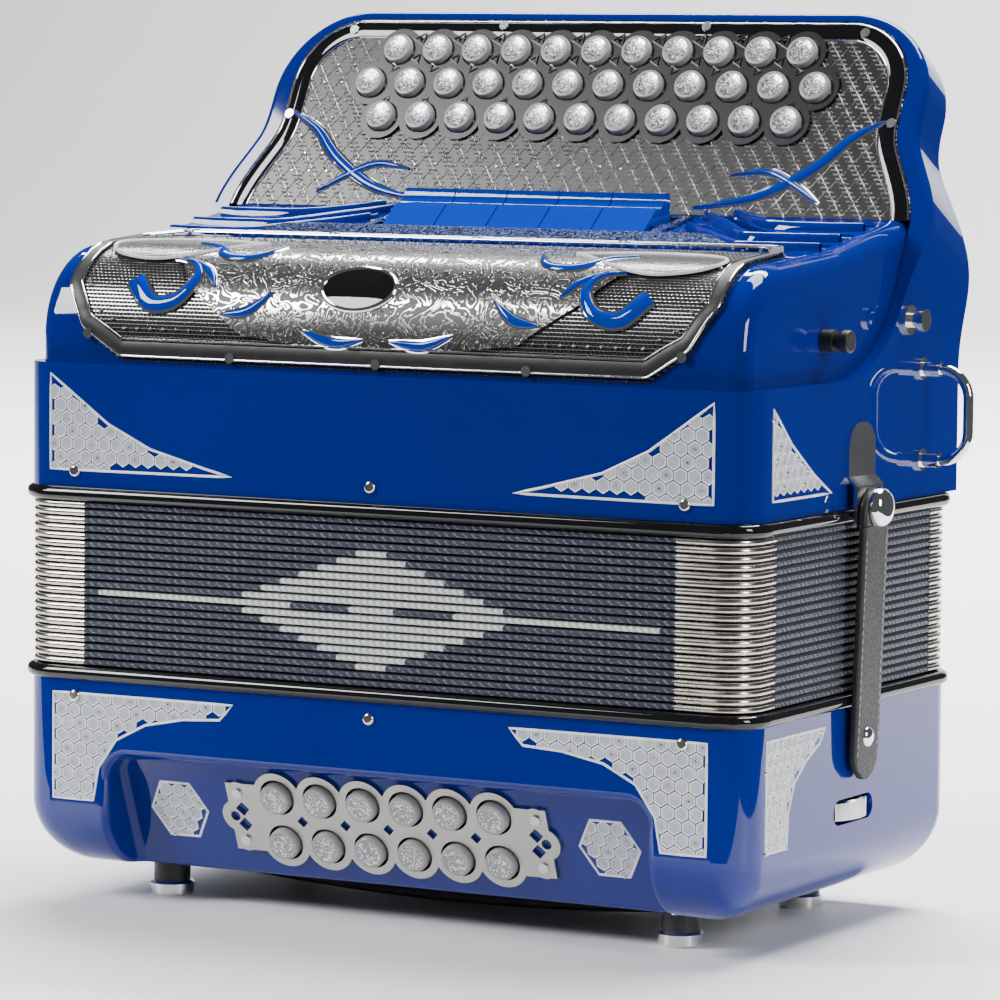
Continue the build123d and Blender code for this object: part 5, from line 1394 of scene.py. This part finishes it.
    def stones(self, hull, border):
        """Rows of small set stones along the border and round the badge."""
        bm = bmesh.new()
        radius = sizes().gem_radius
        row = self.outline(hull, border + 0.0032)
        for point in row[::1]:
            add_stone(bm, on_grille(point.x, point.y, 0.0), radius * 0.8, Vector((0, -0.7, 0.7)))
        for index in range(30):
            angle = 2 * math.pi * index / 30
            x, along = math.cos(angle) * 0.0195 - 0.012, 0.0335 + math.sin(angle) * 0.0128
            add_stone(bm, on_grille(x, along, 0.0003), radius, Vector((0, -0.7, 0.7)))
        rng = random.Random(7)
        for side in (-1, 1):
            for index in range(22):
                t = index / 21
                x = side * (0.030 + 0.074 * t)
                along = 0.0155 + 0.048 * t ** 1.5 + rng.uniform(-0.0006, 0.0006)
                add_stone(bm, on_grille(x, along, 0.0003), radius * 0.9, Vector((0, -0.7, 0.7)))
        make_object("grille_stones", bm, FINISHES["gem"], "treble_side", 20)


def add_stone(bm, place, radius, normal):
    """Low faceted stone."""
    turn = Vector((0, 0, 1)).rotation_difference(normal.normalized())
    matrix = Matrix.Translation(place) @ turn.to_matrix().to_4x4()
    bmesh.ops.create_cone(bm, cap_ends=True, segments=6, radius1=radius, radius2=radius * 0.5,
                          depth=radius * 0.9, matrix=matrix)


class ACCORDION_OT_keyboard(bpy.types.Operator):
    """Edge the keyboard plate and add its raised blue swooshes and stones"""

    bl_idname = "accordion.keyboard"
    bl_label = "Keyboard plate"

    def execute(self, context):
        rim = self.plate_rim()
        band, lines = bmesh.new(), bmesh.new()
        ribbon(band, self.drawn_in(rim, 0.0046), 0.0084, 0.0004, self.on_plate)
        make_object("plate_border", band, FINISHES["black"], "treble_side", 50)
        for inset, thick in ((0.0010, 0.0009), (0.0084, 0.0010)):
            ribbon(lines, self.drawn_in(rim, inset), thick, 0.0008, self.on_plate)
        make_object("plate_lines", lines, FINISHES["chrome"], "treble_side", 60)
        blue, edge = bmesh.new(), bmesh.new()
        low = min(point.y for point in rim)
        for side in (-1, 1):
            for path, widest in (
                ([(0.140, low + 0.044), (0.126, low + 0.036), (0.112, low + 0.022), (0.090, low + 0.009),
                  (0.062, low + 0.003)], 0.0050),
                ([(0.118, low + 0.006), (0.106, low + 0.014), (0.092, low + 0.020), (0.076, low + 0.018)],
                 0.0034),
            ):
                curve = curve_points([(side * x, up) for x, up in path], 8)
                widths = swelling(len(curve), widest)
                ribbon(blue, curve, widths, 0.0013, self.on_plate)
                ribbon(edge, curve, [w + 0.0012 for w in widths], 0.0007, self.on_plate)
        make_object("plate_swooshes", blue, FINISHES["accent"], "treble_side", 60)
        make_object("plate_swoosh_edges", edge, FINISHES["chrome"], "treble_side", 60)
        stones = bmesh.new()
        rng = random.Random(3)
        for side in (-1, 1):
            for column in range(3):
                for step in range(9):
                    x = side * (0.116 + 0.0086 * column + (step % 2) * 0.0043)
                    up = low + 0.016 + step * 0.0085
                    edge_near = [abs(p.x) for p in rim if abs(p.y - up) < 0.006 and p.x * side > 0]
                    if abs(x) < min(edge_near, default=0) - 0.011:
                        radius = sizes().gem_radius * rng.uniform(0.9, 1.15)
                        add_stone(stones, self.on_plate(x, up, 0.0002), radius, KEY_OUT)
        for index in range(24):
            place = self.on_plate((index - 11.5) * 0.0098, low + 0.020 + 0.0008 * (index % 2), 0.0002)
            add_stone(stones, place, sizes().gem_radius, KEY_OUT)
        make_object("plate_stones", stones, FINISHES["gem"], "treble_side", 20)
        return {"FINISHED"}

    def on_plate(self, x, up, out):
        """Point over the keyboard plate."""
        return key_matrix(x, up, out).translation

    def plate_rim(self):
        """Outline of the keyboard plate from foot to foot, over its top."""
        points = []
        for co in node_vertices("keyboard_plate"):
            if abs(co.dot(KEY_OUT) - KEY_FACE) < 0.0003:
                points.append(Vector((co.x, co.dot(KEY_UP) - KEY_MIDDLE_UP)))
        low = min(p.y for p in points)
        middle_up = low + 0.02
        best = {}
        for point in points:
            if point.y < low + 0.0003 and abs(point.x) < 0.150:
                continue
            key = round(math.degrees(math.atan2(point.y - middle_up, point.x)))
            away = math.hypot(point.x, point.y - middle_up)
            if key not in best or away > best[key][0]:
                best[key] = (away, point)
        ring = [best[key][1] for key in sorted(best, key=lambda k: k if k > -90 else k + 360)]
        ring = [p for p in ring if abs(p.x) > 0.1165 or p.y > 0.029]
        tidy = [ring[0]]
        for point in ring[1:]:
            if (point - tidy[-1]).length > 0.002:
                tidy.append(point)
        for a, b in zip(list(tidy), tidy[1:]):
            if (b - a).length > 0.03:
                place = tidy.index(b)
                steps = int((b - a).length / 0.012)
                tidy[place:place] = [a + (b - a) * step / steps for step in range(1, steps)]
        return tidy

    def drawn_in(self, path, inset):
        """Path moved towards the plate's middle."""
        moved = []
        for index, point in enumerate(path):
            along = (path[min(index + 1, len(path) - 1)] - path[max(index - 1, 0)]).normalized()
            side = Vector((-along.y, along.x))
            if side.dot(Vector((0, 0)) - point) < 0:
                side = -side
            moved.append(point + side * inset)
        return moved


class ACCORDION_OT_hood(bpy.types.Operator):
    """Add the raised chevrons of the hood and the gauze behind its slots"""

    bl_idname = "accordion.hood"
    bl_label = "Hood"

    def execute(self, context):
        bm = bmesh.new()
        for side in (-1, 1):
            for corners in (
                [(74, 30), (85, 20), (96, 11), (106, 2), (115, -4.4), (126, -5), (150, -5)],
                [(71, 52), (82, 41), (93, 30), (102, 20), (110, 13.4), (122, 13), (150, 13)],
                [(82, 57), (91, 50), (100, 43), (107, 38), (114, 35.6), (128, 35), (150, 35)],
            ):
                path = curve_points([(side * x * MM, MID_Y + y * MM) for x, y in corners], 5)
                last = len(path) - 1
                widths = [0.0058 * (0.35 + 0.65 * min(1.0, i / 6, (last - i) / 4 + 0.2))
                          for i in range(last + 1)]
                section = (-1, -0.8, -0.4, 0, 0.4, 0.8, 1)
                ribbon(bm, path, widths, 0.0034, treble_cover_flat, section=section)
        make_object("hood_ridges", bm, FINISHES["lacquer"], "treble_side", 60)
        gauze = bmesh.new()
        for side in (-1, 1):
            grid = bmesh.ops.create_grid(gauze, x_segments=24, y_segments=24, size=1.0)["verts"]
            for vert in grid:
                x = side * (0.112 + vert.co.x * 0.042)
                y = MID_Y + 0.030 + vert.co.y * 0.034
                drop = (HOOD_HIGH.y - y) * math.tan(HOOD_TOP_SLOPE)
                vert.co = Vector((x, y, HOOD_HIGH.z - 0.0070 - drop))
        make_object("slot_gauze", gauze, FINISHES["night"], "treble_side", 50)
        return {"FINISHED"}


def treble_cover_flat(x, y, out):
    """Point over the hood's top, whose height is read beside the slots."""
    beside = math.copysign(HOOD_HIGH.x - 0.0085, x)
    level = treble_cover_point(beside, y, 0.0).z
    return Vector((x, y, level + out - 0.0003))


def inside(point, polygon):
    """Whether a point lies in a polygon."""
    result = False
    for (ax, ay), (bx, by) in zip(polygon, polygon[1:] + polygon[:1]):
        if (ay > point[1]) != (by > point[1]) and point[0] < (bx - ax) * (point[1] - ay) / (by - ay) + ax:
            result = not result
    return result


def nearest_on(point, polygon):
    """Nearest point on a polygon's edges."""
    spot = Vector(point)
    best = None
    for a, b in zip(polygon, polygon[1:] + polygon[:1]):
        start, along = Vector(a), Vector(b) - Vector(a)
        share = min(max((spot - start).dot(along) / along.length_squared, 0.0), 1.0)
        near = start + along * share
        if best is None or (near - spot).length_squared < (best - spot).length_squared:
            best = near
    return best


class ACCORDION_OT_ornaments(bpy.types.Operator):
    """Inlay the hexagon-cell ornaments of the casings"""

    bl_idname = "accordion.ornaments"
    bl_label = "Inlays"

    def execute(self, context):
        for side in (-1, 1):
            name = "right" if side > 0 else "left"
            def front(x, z, out, side=side):
                return front_matrix(side * x, z, out).translation

            upper = [(0.1496, 0.2149), (0.1496, 0.1765), (0.1180, 0.1765), (0.0638, 0.1768), (0.0760, 0.1795),
                     (0.1020, 0.1862), (0.1220, 0.1955), (0.1370, 0.2060)]
            lower = [(0.0629, 0.0858), (0.1481, 0.0858), (0.1481, 0.0427), (0.1289, 0.0427), (0.1265, 0.0560),
                     (0.1180, 0.0680), (0.1040, 0.0750), (0.0860, 0.0785), (0.0690, 0.0795)]
            self.inlay(f"treble_inlay_{name}", upper, front, "treble_side")
            self.inlay(f"bass_inlay_{name}", lower, front, "bass_side")

            def end(y, z, out, side=side):
                return end_matrix(side, MID_Y + y, z, out).translation

            high = [(-0.0756, 0.2120), (-0.0756, 0.1770), (-0.0241, 0.1768), (-0.0400, 0.1850),
                    (-0.0600, 0.1980)]
            low = [(-0.0784, 0.0858), (-0.0267, 0.0858), (-0.0320, 0.0800), (-0.0440, 0.0745),
                   (-0.0540, 0.0670), (-0.0590, 0.0560), (-0.0600, 0.0427), (-0.0784, 0.0427)]
            self.inlay(f"treble_end_inlay_{name}", high, end, "treble_side")
            self.inlay(f"bass_end_inlay_{name}", low, end, "bass_side")

            def recess(x, up, out, side=side):
                return bass_matrix(side * x, up, out - (BASS_FACE - BASS_BACK)).translation

            hexagon = [(0.0850, 0.0), (0.0915, 0.0120), (0.1050, 0.0120), (0.1115, 0.0), (0.1050, -0.0120),
                       (0.0915, -0.0120)]
            self.inlay(f"recess_inlay_{name}", hexagon, recess, "bass_side")
        return {"FINISHED"}

    def inlay(self, name, shape, place, body):
        """Cells within a shape, with a white line round it."""
        bm = bmesh.new()
        step = 0.0060
        stones = []
        low_x, high_x = min(p[0] for p in shape), max(p[0] for p in shape)
        low_y, high_y = min(p[1] for p in shape), max(p[1] for p in shape)
        for row in range(int((high_y - low_y) / (step * 0.866)) + 2):
            for column in range(int((high_x - low_x) / step) + 2):
                x = low_x + (column + (row % 2) / 2) * step
                y = low_y + row * step * 0.866
                if not inside((x, y), shape):
                    continue
                self.cell(bm, x, y, step * 0.53, place, shape)
                if (row + 2 * column) % 3 == 0:
                    stones.append((x, y))
        smooth_edge = [Vector(p) for p in shape]
        path = []
        for a, b in zip(smooth_edge, smooth_edge[1:] + smooth_edge[:1]):
            steps = max(2, int((b - a).length / 0.006))
            path += [a + (b - a) * i / steps for i in range(steps)]
        ribbon(bm, path, 0.0011, 0.0005, place, closed=True, material=1)
        for x, y in stones:
            known = set(bm.faces)
            middle_point = place(x, y, 0.0004)
            add_stone(bm, middle_point, 0.0009, place(x, y, 0.01) - place(x, y, 0.0))
            for face in set(bm.faces) - known:
                face.material_index = 2
        make_object(name, bm, [FINISHES["cell"], FINISHES["white"], FINISHES["gem"]], body, 30)

    def cell(self, bm, x, y, radius, place, shape):
        """One hexagon: a pearly face in a thin white frame, cut short where it meets the shape's edge."""
        origin = place(x, y, 0.0)
        axes = (place(x + 1, y, 0) - origin, place(x, y + 1, 0) - origin, place(x, y, 1) - origin)
        matrix = Matrix(axes).transposed().to_4x4()
        matrix.translation = origin
        verts = bmesh.ops.create_circle(bm, cap_ends=True, radius=radius, segments=6)["verts"]
        face = verts[0].link_faces[0]
        face.normal_update()
        inset = bmesh.ops.inset_region(bm, faces=[face], thickness=radius * 0.17, use_boundary=True)
        frame_faces = inset["faces"]
        every = {v for f in frame_faces for v in f.verts}
        bmesh.ops.translate(bm, vec=(0, 0, 0.00045), verts=list(every))
        bmesh.ops.translate(bm, vec=(0, 0, -0.00018), verts=list(face.verts))
        rim = [e for e in bm.edges if e.is_boundary and e.verts[0] in every]
        skirt = bmesh.ops.extrude_edge_only(bm, edges=rim)["geom"]
        lower = vertices_in(skirt)
        bmesh.ops.translate(bm, vec=(0, 0, -0.0005), verts=lower)
        every |= set(lower)
        for side_face in {f for v in every for f in v.link_faces} - {face}:
            side_face.material_index = 1
        for vert in every:
            spot = (vert.co.x + x, vert.co.y + y)
            if not inside(spot, shape):
                near = nearest_on(spot, shape)
                vert.co.x, vert.co.y = near[0] - x, near[1] - y
        bmesh.ops.transform(bm, matrix=matrix, verts=list(every))


class ACCORDION_OT_straps(bpy.types.Operator):
    """Sew the bellows straps and the hand strap, and knurl the strap wheel"""

    bl_idname = "accordion.straps"
    bl_label = "Straps and wheel"

    def execute(self, context):
        for side, name in ((1, "right"), (-1, "left")):
            low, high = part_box(f"bellows_strap_{name}")
            end_low, end_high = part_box("strap_top_ends")
            outer = max(abs(low.x), abs(high.x))
            thick = 0.0030
            top_x = side * (outer - thick / 2)
            foot_x = side * (min(abs(low.x), abs(high.x)) + thick / 2)
            y = (low.y + high.y) / 2
            hinge = high.z
            down = [Vector((foot_x + (top_x - foot_x) * ((z - low.z) / (hinge - low.z)), y, z))
                    for z in [low.z + (hinge - low.z) * i / 24 for i in range(25)]]
            across, width = Vector((0, 1, 0)), high.y - low.y
            body = f"bellows_strap_{name}_body"
            strap = self.band(f"bellows_strap_leather_{name}", down, across, width, thick, body,
                              rounded_start=True)
            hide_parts(f"bellows_strap_{name}")
            rise = end_high.z - end_low.z
            up = [Vector((top_x, y, end_low.z + rise * i / 6)) for i in range(7)]
            end = self.band(f"strap_end_leather_{name}", up, across, width, thick, "treble_side",
                            rounded_end=True)
            if side > 0:
                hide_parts("strap_top_ends")
            bm = bmesh.new()
            stud = Matrix.Translation(down[4] + Vector((side * thick / 2, 0, 0)))
            stud = stud @ Matrix.Rotation(side * math.pi / 2, 4, "Y")
            spun(bm, [(0, 0.0016), (0.0022, 0.0015), (0.0034, 0.0010), (0.0041, 0.0), (0.0041, -0.0004),
                      (0, -0.0004)], stud, 28)
            make_object(f"strap_snap_{name}", bm, FINISHES["chrome"], body, 40)
        self.hand_strap()
        self.wheel()
        return {"FINISHED"}

    def band(self, name, path, across, width, thick, body, rounded_start=False, rounded_end=False):
        """Leather band along a path, with rounded edges and a row of stitches down each side."""
        bm = bmesh.new()
        length = sum((b - a).length for a, b in zip(path, path[1:]))
        section = [(-0.5, 0.1), (-0.49, 0.34), (-0.465, 0.5), (-0.40, 0.5), (0, 0.5), (0.40, 0.5),
                   (0.465, 0.5), (0.49, 0.34), (0.5, 0.1), (0.49, -0.4), (0.46, -0.5), (0, -0.5),
                   (-0.46, -0.5), (-0.49, -0.4)]
        previous = None
        gone = 0.0
        first = None
        for index, point in enumerate(path):
            if index:
                gone += (point - path[index - 1]).length
            along = (path[min(index + 1, len(path) - 1)] - path[max(index - 1, 0)]).normalized()
            out = along.cross(across).normalized()
            if out.dot(Vector((point.x, 0, 0)) if abs(out.x) > 0.5 else Vector((0, 0, -1))) < 0:
                out = -out
            share = 1.0
            from_end = gone if rounded_start else (length - gone if rounded_end else width)
            if from_end < width / 2:
                share = math.sqrt(max(0.04, 1 - (1 - from_end / (width / 2)) ** 2))
            ring = [point + across * (width * a * share) + out * (thick * b) for a, b in section]
            if previous is None:
                verts = [bm.verts.new(spot) for spot in ring]
                edges = [bm.edges.new(pair) for pair in zip(verts, verts[1:] + verts[:1])]
                first = edges
            else:
                grown = bmesh.ops.extrude_edge_only(bm, edges=previous)["geom"]
                edges = edges_in(grown)
                chain = ordered(edges, [v.co.copy() for v in verts])
                for vert, spot in zip(chain, ring):
                    vert.co = spot
                verts = chain
                edges = [bm.edges.get(pair) for pair in zip(verts, verts[1:] + verts[:1])]
            previous = edges
        bmesh.ops.contextual_create(bm, geom=first)
        bmesh.ops.contextual_create(bm, geom=previous)
        leather = make_object(name, bm, FINISHES["leather"], body, 50)
        self.stitches(name + "_stitches", path, across, width * 0.40, thick, body,
                      rounded_start, rounded_end)
        return leather

    def stitches(self, name, path, across, offset, thick, body, rounded_start, rounded_end):
        """Short threads standing along both edges of a band, where the band is long enough for any."""
        step = sizes().stitch_length
        length = sum((b - a).length for a, b in zip(path, path[1:]))
        trim_start = offset if rounded_start else step
        trim_end = offset if rounded_end else step
        count = int((length - trim_start - trim_end) / step)
        if count < 1:
            return
        bm = bmesh.new()
        for index in range(count):
            place, along = point_along(path, trim_start + (index + 0.5) * step)
            out = along.cross(across).normalized()
            if out.dot(Vector((place.x, 0, 0)) if abs(out.x) > 0.5 else Vector((0, 0, -1))) < 0:
                out = -out
            for side in (-1, 1):
                turn = Matrix((along, across * side, out)).transposed().to_4x4()
                spot = place + across * (offset * side) + out * (thick / 2 - 0.00005)
                matrix = Matrix.Translation(spot) @ turn
                matrix = matrix @ Matrix.Diagonal((step * 0.40, 0.00035, 0.00028, 1))
                bmesh.ops.create_icosphere(
                    bm, subdivisions=1, radius=1.0, matrix=matrix,
                )
        make_object(name, bm, FINISHES["thread"], body, 80)

    def hand_strap(self):
        """Padded leather strap under the bass casing."""
        low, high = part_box("hand_strap")
        width = high.y - low.y
        half = high.x
        thick = 0.0035
        path = []
        for index in range(49):
            x = -half + 2 * half * index / 48
            sag = (1 - (x / half) ** 2) * (high.z - low.z - thick)
            path.append(Vector((x, MID_Y, high.z - thick / 2 - sag)))
        strap = self.band("hand_strap_leather", path, Vector((0, 1, 0)), width, thick, "bass_side")
        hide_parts("hand_strap")

    def wheel(self):
        """Knurled wheel that tightens the hand strap."""
        low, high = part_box("strap_wheel")
        centre = (low + high) / 2
        radius = (high.x - low.x) / 2
        height = high.z - low.z
        bm = bmesh.new()
        ring = bmesh.ops.create_circle(bm, cap_ends=True, radius=radius, segments=144)["verts"]
        for index, vert in enumerate(sorted(ring, key=lambda v: math.atan2(v.co.y, v.co.x))):
            if index % 2:
                vert.co *= 1 - 0.0009 / radius
        face = ring[0].link_faces[0]
        face.normal_update()
        bmesh.ops.inset_region(bm, faces=[face], thickness=0.0016, depth=0.0006, use_boundary=True)
        bmesh.ops.inset_region(bm, faces=[face], thickness=0.010, depth=-0.0009, use_boundary=True)
        grown = bmesh.ops.extrude_edge_only(bm, edges=[e for e in bm.edges if e.is_boundary])["geom"]
        lower = vertices_in(grown)
        bmesh.ops.translate(bm, vec=(0, 0, -(height - 0.0012)), verts=lower)
        bmesh.ops.contextual_create(bm, geom=[e for e in bm.edges if e.is_boundary])
        top = max(v.co.z for v in bm.verts)
        bmesh.ops.translate(bm, vec=(centre.x, centre.y, high.z - top), verts=bm.verts[:])
        wheel = make_object("knurled_wheel", bm, FINISHES["nickel"], "strap_wheel_body", 30)
        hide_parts("strap_wheel")


def point_along(path, distance):
    """Point and direction at a distance along a path."""
    for a, b in zip(path, path[1:]):
        step = (b - a).length
        if distance <= step:
            return a + (b - a) * (distance / step), (b - a).normalized()
        distance -= step
    return path[-1].copy(), (path[-1] - path[-2]).normalized()


class ACCORDION_OT_stage(bpy.types.Operator):
    """Set the floor, the soft studio light and the camera"""

    bl_idname = "accordion.stage"
    bl_label = "Stage"

    def execute(self, context):
        bm = bmesh.new()
        verts = bmesh.ops.create_grid(bm, x_segments=1, y_segments=1, size=4.0)["verts"]
        for vert in verts:
            vert.co.x = min(vert.co.x, 0.55)
            vert.co.y = max(vert.co.y, -0.34)
        back = [e for e in bm.edges if all(v.co.y > 3.9 for v in e.verts)]
        for angle in [math.radians(a) for a in range(10, 91, 10)]:
            grown = bmesh.ops.extrude_edge_only(bm, edges=back)["geom"]
            back = edges_in(grown)
            for vert in vertices_in(grown):
                vert.co = Vector((vert.co.x, 4.0 + 1.5 * math.sin(angle), 1.5 * (1 - math.cos(angle))))
        grown = bmesh.ops.extrude_edge_only(bm, edges=back)["geom"]
        bmesh.ops.translate(bm, vec=(0, 0, 4), verts=vertices_in(grown))
        material, shader, maker = finish("Studio floor", Roughness=0.55)
        noise = object_noise(maker, 3.0, 3.0)
        shade = maker.mix(noise.outputs["Fac"], (0.93, 0.93, 0.935, 1), (0.95, 0.95, 0.955, 1))
        maker.tree.links.new(shade, shader.inputs["Base Color"])
        floor = make_object("studio_floor", bm, material)
        self.lights()
        self.camera()
        return {"FINISHED"}

    def lights(self):
        """Large soft boxes, and a pale world behind them."""
        world = bpy.data.worlds.new("Studio")
        bpy.context.scene.world = world
        world.use_nodes = True
        maker = Maker(world.node_tree)
        seen = maker.add("ShaderNodeLightPath").outputs["Is Camera Ray"]
        background = world.node_tree.nodes["Background"]
        background.inputs["Color"].default_value = (0.92, 0.95, 1.0, 1)
        strength = maker.sum("ADD", maker.sum("MULTIPLY", seen, 0.9), 0.10)
        maker.tree.links.new(strength, background.inputs["Strength"])
        for name, place, aim, size, power in (
            ("key", (-1.5, -1.5, 1.5), (0, 0, 0.2), (0.6, 1.2), 70),
            ("fill", (2.0, -0.6, 0.9), (0, 0, 0.15), (0.5, 1.0), 26),
            ("top", (0.2, 0.7, 2.2), (0, 0.1, 0.2), (1.6, 0.8), 75),
            ("sweep", (-0.6, 1.7, 2.6), (-0.6, 3.0, 0.4), (3.0, 1.0), 420),
        ):
            light = bpy.data.lights.new(name, "AREA")
            light.shape = "RECTANGLE"
            light.size, light.size_y = size
            light.energy = power
            lamp = bpy.data.objects.new(name, light)
            lamp.location = place
            lamp.rotation_euler = (Vector(aim) - Vector(place)).to_track_quat("-Z", "Y").to_euler()
            bpy.context.scene.collection.objects.link(lamp)

    def camera(self):
        """Camera that sees the front, the top and the +X end."""
        data = bpy.data.cameras.new("camera")
        data.sensor_width = 36.0
        data.lens = 187.6
        data.shift_x, data.shift_y = 0.0154, -0.0255
        camera = bpy.data.objects.new("camera", data)
        azimuth, elevation, roll = math.radians(29.11), math.radians(4.73), math.radians(0.47)
        level = math.cos(elevation)
        back = Vector((math.sin(azimuth) * level, -math.cos(azimuth) * level, math.sin(elevation)))
        right = Vector((math.cos(azimuth), math.sin(azimuth), 0))
        up = back.cross(right)
        turned = math.cos(roll) * right + math.sin(roll) * up
        upright = -math.sin(roll) * right + math.cos(roll) * up
        matrix = Matrix((turned, upright, back)).transposed().to_4x4()
        matrix.translation = Vector((1.0248, -1.8548, 0.34905))
        camera.matrix_world = matrix
        bpy.context.scene.collection.objects.link(camera)
        bpy.context.scene.camera = camera


class ACCORDION_PT_build(bpy.types.Panel):
    """Sizes, colours and steps of the accordion"""

    bl_label = "Button accordion"
    bl_idname = "ACCORDION_PT_build"
    bl_space_type = "VIEW_3D"
    bl_region_type = "UI"
    bl_category = "Accordion"

    def draw(self, context):
        for group in (context.scene.accordion_sizes, context.scene.accordion_colours):
            box = self.layout.box()
            for name in group.__annotations__:
                box.prop(group, name)
        column = self.layout.column(align=True)
        for step in STEPS:
            column.operator(step.bl_idname)


STEPS = (
    ACCORDION_OT_finishes, ACCORDION_OT_bellows, ACCORDION_OT_buttons, ACCORDION_OT_grille,
    ACCORDION_OT_keyboard, ACCORDION_OT_hood, ACCORDION_OT_ornaments, ACCORDION_OT_straps,
    ACCORDION_OT_stage,
)
CLASSES = (AccordionSizes, AccordionColours, *STEPS, ACCORDION_PT_build)


def register():
    for one in CLASSES:
        bpy.utils.register_class(one)
    bpy.types.Scene.accordion_sizes = bpy.props.PointerProperty(type=AccordionSizes)
    bpy.types.Scene.accordion_colours = bpy.props.PointerProperty(type=AccordionColours)


def unregister():
    del bpy.types.Scene.accordion_colours
    del bpy.types.Scene.accordion_sizes
    for one in reversed(CLASSES):
        bpy.utils.unregister_class(one)


def main():
    register()
    for step in STEPS:
        group, name = step.bl_idname.split(".")
        getattr(getattr(bpy.ops, group), name)()


if __name__ == "__main__":
    main()
